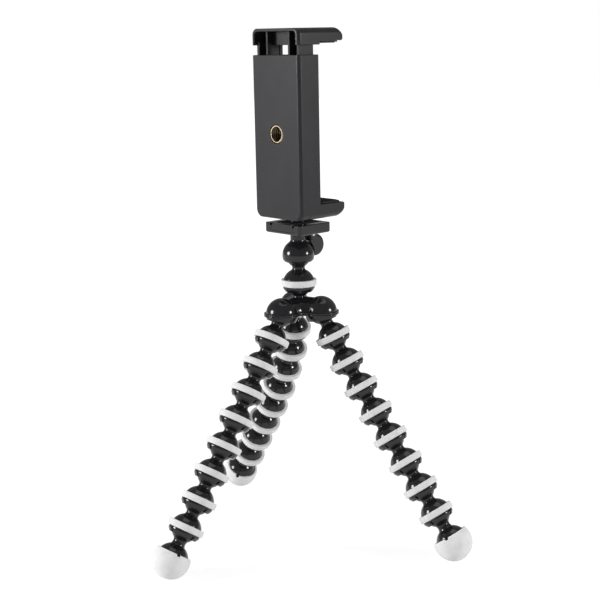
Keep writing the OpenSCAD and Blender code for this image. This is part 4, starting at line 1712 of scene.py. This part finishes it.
@dataclass
class Jaw:
    """A block carried along y, whose outline lies across and up and rounds off at both ends."""

    half: float
    low: float
    high: float
    back: float
    front: float
    tip_low_r: float
    tip_high_r: float
    low_corner: float
    high_corner: float
    tip_side_r: float = 0.6
    back_side_r: float = 1.6
    back_low_r: float = 0.8
    back_high_r: float = 0.25

    def outline(self, station: float) -> Array:
        """The outline at a station.

        At the depth t inside an end face a rounding of radius r has still to come out by
        r - sqrt(r r - (r - t)(r - t)); each side takes the greater value of its two ends.

        Args:
            station: The depth along y.

        Returns:
            The outline, across and up.
        """
        def drawn(tip_r: float, back_r: float) -> float:
            """How far a side is drawn in by its roundings at the tip and at the back.

            Args:
                tip_r: The rounding's radius at the tip.
                back_r: The rounding's radius at the back.

            Returns:
                The distance.
            """
            ends = ((tip_r, self.front - station), (back_r, station - self.back))
            return max(r - math.sqrt(r ** 2 - min(max(r - depth, 0.0), r) ** 2)
                       for r, depth in ends)

        half = self.half - drawn(self.tip_side_r, self.back_side_r)
        return rounded_rect((-half, self.low + drawn(self.tip_low_r, self.back_low_r)),
                            (half, self.high - drawn(self.tip_high_r, self.back_high_r)),
                            self.low_corner, self.high_corner, 10)

    def grid(self) -> Array:
        """The block's points from its back to its tip, closer together in the roundings.

        Returns:
            A grid of points.
        """
        def depths(*radii: float) -> Array:
            """Depths from an end face: those of each rounding's equal steps of angle."""
            turn = np.radians(np.linspace(2, 90, 10))
            return np.unique(np.concatenate([[0.0], *[r * (1 - np.cos(turn)) for r in radii]]))

        rear = self.back + depths(self.back_side_r, self.back_low_r, self.back_high_r)
        tip = self.front - depths(self.tip_low_r, self.tip_high_r, self.tip_side_r)[::-1]
        return np.stack([Axis.Y.stand(self.outline(y), y) for y in (*rear, *tip)])


@dataclass
class Clamp:
    """The clamp's fixed body with seats for its inserts, its front cover, pads, rear insert and
    springs.
    """

    half: float = 14.95
    back: float = 11.35
    front: float = 14.6
    height: float = 69.8
    jaw_h: float = 6.4
    wall: float = 1.6
    rear_wall: float = 1.7
    cover_t: float = 1.2
    ledge: float = 0.7
    corner: float = 3.5
    back_r: float = 1.6
    heel_r: float = 0.8
    chin_r: float = 3.8
    tip_r: float = 1.2
    upper_corner: float = 0.35
    step: float = 0.005
    mouth_bevel: float = 0.3
    boss_wall: float = 1.13
    insert_r: float = 4.05
    bore_r: float = 3.2
    insert_l: float = 5.6
    insert_z: float = 36.6
    thread_pitch: float = 1.27
    thread_h: float = 0.42
    pad_t: float = 0.95
    back_pad_t: float = 0.75
    pad_inset: float = 1.4
    jaw_rib_r: float = 0.35
    jaw_ribs: int = 7
    back_rib_r: float = 0.3
    back_ribs: int = 12
    seat_gap: float = 0.03
    spring_r: float = 1.5
    wire_r: float = 0.3
    spring_x: float = 9.6
    spring_y: float = -5.0
    spring_turns: int = 16
    wound: float = 0.06
    wound_rise: float = 0.08

    def place(self) -> Place:
        """The clamp's underside on the screw's axis."""
        return upright(joint_point("clamp_turn"))

    def body(self) -> Solid:
        """The box, the fixed jaw, the cavity with its bevelled top, and the inserts' seats.

        Returns:
            The body.
        """
        inner = self.half - self.wall
        box = Jaw(self.half, 0, self.height, -self.back, 0.0, 0.15, 0.15, self.corner,
                  self.upper_corner, 0.15, self.back_r, self.heel_r)
        jaw = Jaw(self.half - self.step, self.step, self.jaw_h, -6.0, self.front, self.chin_r,
                  self.tip_r, self.corner, self.upper_corner, 0.6, 0.2, 0.2)
        solid = Solid(box.grid(), self.place()).then(Carve.JOIN, jaw.grid())

        def mouth(inset: float, station: float) -> Array:
            """The cavity's plan, opened out by its bevel at the body's top.

            Args:
                inset: Not needed; the cutting shape's ends are plain.
                station: The height.

            Returns:
                The outline, across and deep.
            """
            bevel = self.mouth_bevel
            flare = bevel * min(max((station - self.height + bevel) / bevel, 0.0), 4.0)
            return rounded_rect((-inner - flare, self.rear_wall - self.back - flare),
                                (inner + flare, -self.cover_t), 0.4, 0.1)

        plain = Edge(0.1, 1, 0.05)
        cavity = carried(mouth, Axis.Z, self.rear_wall, self.height + 1.2, plain, plain,
                         (self.height - self.mouth_bevel,))
        low, high = self.jaw_h + self.wall, self.height - self.wall
        wide = inner + self.ledge + self.seat_gap
        recess = slab((-wide, -self.cover_t, low - self.seat_gap), (wide, 2, high + self.seat_gap),
                      Axis.Y, 0.5, Edge(0.02, 1, 0.01))
        solid.then(Carve.CUT, cavity, recess)
        boss = rod(self.insert_r + self.boss_wall, 0, 6.0, 0.1, 64)
        solid.then(Carve.JOIN, laid(boss, Axis.Y) + [0, 0.5 - self.back, self.insert_z],
                   boss + [0, 0, 0.3])
        seat_r, seat_l = self.insert_r + self.seat_gap, self.insert_l + self.seat_gap
        hole = turned(np.array([[0, -1], [self.insert_r + 1.2, -1], [self.insert_r + 0.2, 0],
                                [seat_r, 0.17], [seat_r, seat_l], [0, seat_l]], float),
                      columns(96))
        return solid.then(Carve.CUT, hole, laid(hole, Axis.Y) + [0, -self.back, self.insert_z])

    def insert(self, threads: int) -> tuple[Array, Array]:
        """A brass sleeve whose bore has a helical thread, closed at its inner end.

        The bore's radius is r - h (1 + cos(2 pi z / pitch - angle)) / 2, so its ridges climb one
        pitch a turn, and the ridges die out at both ends.

        Args:
            threads: How many turns the thread has.

        Returns:
            A grid of points, with z from the mouth inwards, and its lane: 1 inside the bore, where
            shade is painted.
        """
        angles = columns(96)
        first, last = 0.45, self.insert_l - 0.5
        z = np.linspace(first, last, threads * 12)
        fade = np.clip(np.minimum(z - first, last - z) / 0.5, 0, 1)[:, None]
        wave = (1 + np.cos(TURN * z[:, None] / self.thread_pitch - angles)) / 2
        r = self.bore_r - self.thread_h * fade * wave
        bore = np.stack([r * np.cos(angles), r * np.sin(angles), z[:, None] + 0 * r], axis=-1)
        out, inside, deep = self.insert_r, self.bore_r, self.insert_l
        outside = turned(np.array([[0, deep], [out - 0.1, deep], [out, deep - 0.1], [out, 0.5],
                                   [out - 0.3, 0.22], [out - 0.33, 0.04], [out - 0.38, 0.0],
                                   [inside + 0.1, 0.0], [inside + 0.06, 0.03], [inside, 0.3]]),
                         angles)
        end = turned(np.array([[inside, deep - 0.45], [0, deep - 0.3]]), angles)
        grid = np.concatenate([outside, bore, end])
        # Rows from the bore inwards get lane 1, which paints shade in the bore.
        shade_painted = np.arange(len(grid)) >= len(outside) - 1
        return grid, np.repeat(shade_painted[:, None].astype(float), len(angles), axis=1)

    def spring(self, low: float, high: float) -> Array:
        """A coil: a circle of wire carried along a helix, closely wound at both ends.

        The helix is (R cos t, R sin t, z(t)), where z rises slowly in the first and last turn.

        Args:
            low: Its lower end.
            high: Its upper end.

        Returns:
            A grid of points.
        """
        t = np.linspace(0, self.spring_turns * TURN, self.spring_turns * 20)
        share = t / t[-1]
        rise = np.clip((share - self.wound) / (1 - 2 * self.wound), 0, 1)
        climb = self.wound_rise * share + (1 - self.wound_rise) * rise
        z = low + self.wire_r + (high - low - 2 * self.wire_r) * climb
        middle = np.stack([self.spring_r * np.cos(t), self.spring_r * np.sin(t), z], axis=-1)
        out = np.stack([np.cos(t), np.sin(t), 0 * t], axis=-1)
        wire = columns(8)
        ring = (np.cos(wire)[None, :, None] * out[:, None, :]
                + np.sin(wire)[None, :, None] * np.array([0, 0, 1.0]))
        return middle[:, None, :] + self.wire_r * ring

    @staticmethod
    def rib(radius: float, start: float, end: float) -> Array:
        """A thin bar along z with round ends.

        Args:
            radius: Its radius.
            start: Its lower end.
            end: Its upper end.

        Returns:
            A grid of points.
        """
        return turned(np.concatenate([arc((0, start + radius), radius, -90, 0, 4),
                                      arc((0, end - radius), radius, 0, 90, 4)]), columns(16))

    def pad(self, low: float, facing: int) -> Surface:
        """A jaw pad: a thin rounded sheet with ribs across it.

        Args:
            low: Its lower face's height.
            facing: 1 if its ribs are on its upper face, -1 if on its lower one.

        Returns:
            The pad's surface.
        """
        side = self.half - self.pad_inset
        back, front = self.back_pad_t + self.pad_inset, self.front - self.pad_inset
        radius = self.jaw_rib_r
        thick = self.pad_t - self.seat_gap - radius
        base = low if facing > 0 else low + radius
        surface = Surface().add(slab((-side, back, base), (side, front, base + thick), Axis.Z, 1.2,
                                     PADDED), self.place())
        face = base + thick if facing > 0 else base
        rib = laid(self.rib(radius, 1 - side, side - 1), Axis.X)
        for y in np.linspace(back + 1.3, front - 1.3, self.jaw_ribs):
            surface.add(rib + [0, y, face], self.place())
        return surface

    def back_sheet(self, low: float, high: float, side: float) -> Surface:
        """The pad on the cover: a thin sheet with upright ribs.

        Args:
            low: Its lower edge's height.
            high: Its upper edge's height.
            side: Half its width.

        Returns:
            The pad's surface.
        """
        radius = self.back_rib_r
        face = self.back_pad_t - radius
        sheet = slab((-side, self.seat_gap, low), (side, face, high), Axis.Y, 1.5, PADDED)
        surface = Surface().add(sheet, self.place())
        rib = self.rib(radius, low + 1.3, high - 1.3)
        for x in np.linspace(-side + 1.6, side - 1.6, self.back_ribs):
            surface.add(rib + [x, face, 0], self.place())
        return surface

    def build(self, shop: Workshop) -> None:
        """Makes the clamp's pieces.

        Args:
            shop: Makes the objects.
        """
        place = self.place()
        shop.piece("clamp_box", "clamp", CLAMP_PLASTIC, self.body(), ["clamp_body"])
        low, high = self.jaw_h + self.wall, self.height - self.wall
        side = self.half - self.wall + self.ledge
        cover = slab((-side, self.seat_gap - self.cover_t, low), (side, 0, high), Axis.Y, 0.4,
                     Edge(0.12, 2, 0.08))
        shop.piece("clamp_cover", "clamp", CLAMP_PLASTIC, Surface().add(cover, place),
                   ["front_cover", "cover_screws"])
        sheet = self.back_sheet(low + self.pad_inset, high - self.pad_inset,
                                side - self.pad_inset)
        shop.piece("clamp_back_pad", "clamp", PAD_RUBBER, sheet, ["back_pad"])
        shop.piece("clamp_lower_pad", "clamp", PAD_RUBBER,
                   self.pad(self.jaw_h + self.seat_gap, 1), ["lower_jaw_pad"])
        sleeve, bore = self.insert(4)
        sleeve = laid(sleeve, Axis.Y) + [0, -self.back, self.insert_z]
        # The bore's lane of 1 paints shade into the threaded bore.
        shop.piece("clamp_rear_thread", "clamp", BRASS, Surface().add(sleeve, place, value=bore),
                   ["rear_insert"])
        for name, x in (("left_spring", -self.spring_x), ("right_spring", self.spring_x)):
            self.coil(shop, name, place.origin[:2] + [x, self.spring_y])

    def coil(self, shop: Workshop, name: str, middle: Array) -> None:
        """Makes a spring coil over the height of the spring node, between the clamp and the jaw.

        Args:
            shop: Makes the material.
            name: The node that it stands for.
            middle: Its axis's place across and deep.
        """
        low, high = (corner[2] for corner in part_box(name))
        grid = self.spring(low / MM, high / MM) + [*middle, 0]
        mesh = Surface().add(grid).mesh(f"{name}_coil")
        mesh.materials.append(shop.material(STEEL))
        mesh.shade_smooth()
        made = shown(f"{name}_coil", mesh)
        x, y = grid[..., 0].mean() * MM, grid[..., 1].mean() * MM
        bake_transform(made)
        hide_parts(name)
        LOG.info("%s stretches with the jaw", made.name)


@dataclass
class SlidingJaw:
    """The upper jaw with its hollow back, and the ribbed tongue that runs in the body."""

    clamp: Clamp
    under: float = 75.4
    top: float = 80.9
    skirt: float = 73.85
    skirt_front: float = 1.0
    corner: float = 3.0
    brow_r: float = 3.6
    wall: float = 2.0
    skin: float = 1.3
    pocket_bevel: float = 0.25
    gap: float = 0.1
    tongue_wall: float = 1.5
    tongue_z: float = 40.0
    rib_x: float = 6.88
    rib_t: float = 1.2
    slot_w: float = 11.84
    slot_h: float = 14.0

    def body(self) -> Solid:
        """The jaw's block and skirt, its pocket, and the tongue's walls, ribs, web and slot.

        Returns:
            The jaw.
        """
        clamp = self.clamp
        tip = Jaw(clamp.half, self.under, self.top, -clamp.back, clamp.front, clamp.tip_r,
                  self.brow_r, 0.4, self.corner, 0.6, clamp.back_r, 0.25)
        skirt = Jaw(clamp.half - clamp.step, self.skirt, self.top - 0.02, clamp.step - clamp.back,
                    self.skirt_front, 0.15, 0.2, 0.3, self.corner, 0.3, clamp.back_r, 0.25)
        inner_y = -clamp.cover_t - self.gap - self.tongue_wall
        roof, bevel = self.top - self.skin, self.pocket_bevel

        def pocket(inset: float, station: float) -> Array:
            """The pocket's outline across and up, opened out a little at the rear.

            Args:
                inset: Not needed; the cutting shape's ends are plain.
                station: The depth.

            Returns:
                The outline.
            """
            flare = bevel * min(max((-clamp.back + bevel - station) / bevel, 0.0), 3.0)
            x = clamp.half - self.wall + flare
            return rounded_rect((-x, self.skirt - 1.5), (x, roof + flare), 0.1, 1.7)

        hollow = carried(pocket, Axis.Y, -clamp.back - 0.9, inner_y, CRISP, Edge(0.3, 3, 0.1),
                         (-clamp.back + bevel,))
        solid = Solid(tip.grid(), clamp.place()).then(Carve.JOIN, skirt.grid())
        solid.then(Carve.CUT, hollow)
        tongue_x = clamp.half - clamp.wall - self.gap
        back_y = clamp.rear_wall - clamp.back + self.gap
        front_y = -clamp.cover_t - self.gap
        rib_x, low = self.rib_x, self.tongue_z
        parts = [((-tongue_x, inner_y, low), (tongue_x, front_y, self.under + 0.3), Axis.Z, 0.2)]
        for side in (-1, 1):
            wall = sorted((side * tongue_x, side * (tongue_x - self.tongue_wall)))
            parts.append(((wall[0], back_y, low),
                          (wall[1], front_y - 0.01, self.skirt + self.tongue_wall), Axis.Z, 0.2))
            rib = side * rib_x
            parts.append(((rib - self.rib_t / 2, back_y, low + 0.01),
                          (rib + self.rib_t / 2, front_y - 0.02, roof + 0.4), Axis.Z, 0.25))
        parts.append(((-rib_x, (back_y + inner_y) / 2, self.skirt),
                      (rib_x, front_y - 0.03, roof + 0.39), Axis.Y, 0.2))
        solid.then(Carve.JOIN, *[slab(*part, MOULDED) for part in parts])
        slot = slab((-self.slot_w / 2, back_y - 1, self.skirt - self.slot_h),
                    (self.slot_w / 2, 0, self.skirt), Axis.Y, 0.6, CRISP)
        return solid.then(Carve.CUT, slot)

    def build(self, shop: Workshop) -> None:
        """Makes the sliding jaw's pieces.

        Args:
            shop: Makes the objects.
        """
        shop.piece("upper_jaw", "jaw", CLAMP_PLASTIC, self.body(), ["sliding_jaw"])
        shop.piece("upper_jaw_sheet", "jaw", PAD_RUBBER,
                   self.clamp.pad(self.under - self.clamp.pad_t, -1), ["upper_jaw_pad"])


# Studio

@dataclass(frozen=True)
class Softbox:
    """A round lamp: its direction from the object along the camera's right, up and back axes."""

    name: str
    right: float
    up: float
    back: float
    size: float
    power: float


@dataclass(frozen=True)
class Studio:
    """The camera at the photograph's angle, a white floor and backdrop, and soft light."""

    yaw: float = 47.373
    pitch: float = 11.686
    roll: float = -1.128
    lens: float = 77.51
    from_clamp: tuple[float, float, float] = (414.15, -380.71, 78.84)
    aim: tuple[float, float, float] = (0.0, 0.02, 0.12)
    sensor: float = 36.0
    clip_end: float = 50.0
    lamp_distance: float = 1.0
    floor_r: float = 4000.0
    floor_t: float = 20.0
    floor_dark: Colour = (0.90, 0.90, 0.90)
    floor_light: Colour = (0.93, 0.93, 0.93)
    floor_speck_mm: float = 40.0
    floor_roughness: float = 0.85
    world: float = 0.33
    glow: float = 1.16
    near_share: float = 0.72
    share_rise: float = 0.6
    lamps: tuple[Softbox, ...] = (Softbox("left_box", -0.95, 0.16, 0.25, 0.35, 7.5),
                                  Softbox("right_box", 0.91, 0.17, 0.38, 0.21, 4.4),
                                  Softbox("top_box", 0.1, 1.0, 0.15, 0.8, 2.0))

    def axes(self) -> tuple[Array, Array, Array]:
        """The camera's directions, from its yaw, pitch and roll.

        Returns:
            Right, up and back.
        """
        a, e, r = (math.radians(v) for v in (self.yaw, self.pitch, self.roll))
        forward = np.array([-math.sin(a) * math.cos(e), math.cos(a) * math.cos(e), -math.sin(e)])
        right = np.array([math.cos(a), math.sin(a), 0.0])
        up = np.cross(right, forward)
        return (math.cos(r) * right + math.sin(r) * up, math.cos(r) * up - math.sin(r) * right,
                -forward)

    @staticmethod
    def stand(name: str, data: bpy.types.ID, axes: Sequence[Array], where: Array
              ) -> bpy.types.Object:
        """Adds an object that holds a camera or a lamp.

        Args:
            name: The object's name.
            data: The camera or the lamp.
            axes: Its x, y and z directions; it looks along -z.
            where: Its place in metres.

        Returns:
            The object.
        """
        matrix = np.eye(4)
        matrix[:3, :3], matrix[:3, 3] = np.stack(axes, axis=1), where
        made = shown(name, data)
        made.matrix_world = Matrix(matrix.tolist())
        return made

    def camera(self) -> None:
        """Sets the camera: its place is given from the clamp's underside."""
        where = (joint_point("clamp_turn") + np.array(self.from_clamp)) * MM
        data = bpy.data.cameras.new("studio_camera")
        data.lens, data.sensor_width, data.clip_end = self.lens, self.sensor, self.clip_end
        bpy.context.scene.camera = self.stand("studio_camera", data, self.axes(), where)

    @staticmethod
    def watched(tree: bpy.types.NodeTree, *kinds: str) -> bpy.types.NodeSocket:
        """1 for rays of the camera and of the other kinds named, else 0.

        Args:
            tree: The nodes that it is added to.
            kinds: More kinds of ray, as the Light Path node names them.

        Returns:
            The socket.
        """
        path = tree.nodes.new("ShaderNodeLightPath")
        seen = path.outputs["Is Camera Ray"]
        for kind in kinds:
            either = tree.nodes.new("ShaderNodeMath")
            either.operation = "MAXIMUM"
            tree.links.new(seen, either.inputs[0])
            tree.links.new(path.outputs[kind], either.inputs[1])
            seen = either.outputs[0]
        return seen

    def ground(self) -> None:
        """A floor disc that shades under the object and is white to the camera farther out.

        What the camera sees is a mix of the lit paint and a white glow; the glow's share grows
        with the distance from the middle.
        """
        grid = turned(np.array([[0.0, -self.floor_t], [self.floor_r, -self.floor_t],
                                [self.floor_r, 0], [0, 0]]), columns(64))
        graph = Graph("studio_floor_paint", {"Specular IOR Level": 0.0})
        speck = graph.noise(self.floor_speck_mm)
        graph.feed("Base Color", graph.ramp(speck, [(0.0, self.floor_dark),
                                                    (1.0, self.floor_light)]))
        graph.feed("Roughness", speck * 0.1 + self.floor_roughness)
        reach = graph.node("VectorMath", {"operation": "LENGTH"}, {0: graph.place()})
        share = Value(graph, reach.outputs["Value"]) * self.share_rise + self.near_share
        seen = self.watched(graph.tree, "Is Transmission Ray", "Is Glossy Ray")
        share = share.least(1.0) * Value(graph, seen)
        glow = graph.node("Emission", {}, {"Color": (1.0, 1.0, 1.0), "Strength": self.glow})
        mix = graph.node("MixShader", {}, {0: share, 1: graph.shader.outputs[0],
                                           2: glow.outputs[0]})
        graph.tree.links.new(mix.outputs[0], graph.output.inputs["Surface"])
        mesh = Surface().add(grid).mesh("studio_floor")
        mesh.materials.append(graph.material)
        shown("studio_floor", mesh)

    def surroundings(self) -> None:
        """White surroundings for the camera, and softer light for everything else."""
        world = bpy.data.worlds.new("studio_world")
        bpy.context.scene.world = world
        world.use_nodes = True
        tree = world.node_tree
        tree.nodes.clear()
        mix = tree.nodes.new("ShaderNodeMixShader")
        tree.links.new(self.watched(tree, "Is Transmission Ray"), mix.inputs[0])
        for slot, strength in ((1, self.world), (2, 1.0)):
            light = tree.nodes.new("ShaderNodeBackground")
            light.inputs["Color"].default_value = (1, 1, 1, 1)
            light.inputs["Strength"].default_value = strength
            tree.links.new(light.outputs[0], mix.inputs[slot])
        out = tree.nodes.new("ShaderNodeOutputWorld")
        tree.links.new(mix.outputs[0], out.inputs[0])

    def light(self) -> None:
        """The round lamps, each turned to the object's middle."""
        right, up, back = self.axes()
        for lamp in self.lamps:
            data = bpy.data.lights.new(lamp.name, "AREA")
            data.shape, data.energy, data.size = "DISK", lamp.power, lamp.size
            away = lamp.right * right + lamp.up * up + lamp.back * back
            away /= np.linalg.norm(away)
            side = np.cross(up + 0.01 * right, away)
            side /= np.linalg.norm(side)
            self.stand(lamp.name, data, (side, np.cross(away, side), away),
                       np.array(self.aim) + self.lamp_distance * away)

    def build(self) -> None:
        """Sets the whole studio and the plain colour view."""
        self.camera()
        self.ground()
        self.surroundings()
        self.light()
        bpy.context.scene.view_settings.view_transform = "Standard"


def main() -> None:
    """Builds the tripod from the feet up, then the studio, and reports each piece."""
    logging.basicConfig(level=logging.INFO, format="%(name)s: %(message)s")
    shop = Workshop()
    for name, tab_angle in (("right", -71.0), ("left", 133.0), ("rear", 66.0)):
        Leg(name, tab_angle).build(shop)
    Hub().build(shop)
    Neck().build(shop)
    head = Head()
    head.build(shop)
    Lever().build(shop)
    Plate(head).build(shop)
    clamp = Clamp()
    clamp.build(shop)
    SlidingJaw(clamp).build(shop)
    for node, finish in (("plate_pad", PAD_RUBBER), ("base_pad", PAD_RUBBER),
                         ("bottom_insert", BRASS), ("lower_spring_pin", STEEL),
                         ("upper_spring_pins", STEEL)):
        shop.dress(node, finish)
    Studio().build()
    LOG.info("%d pieces made", shop.count)


if __name__ == "__main__":
    main()
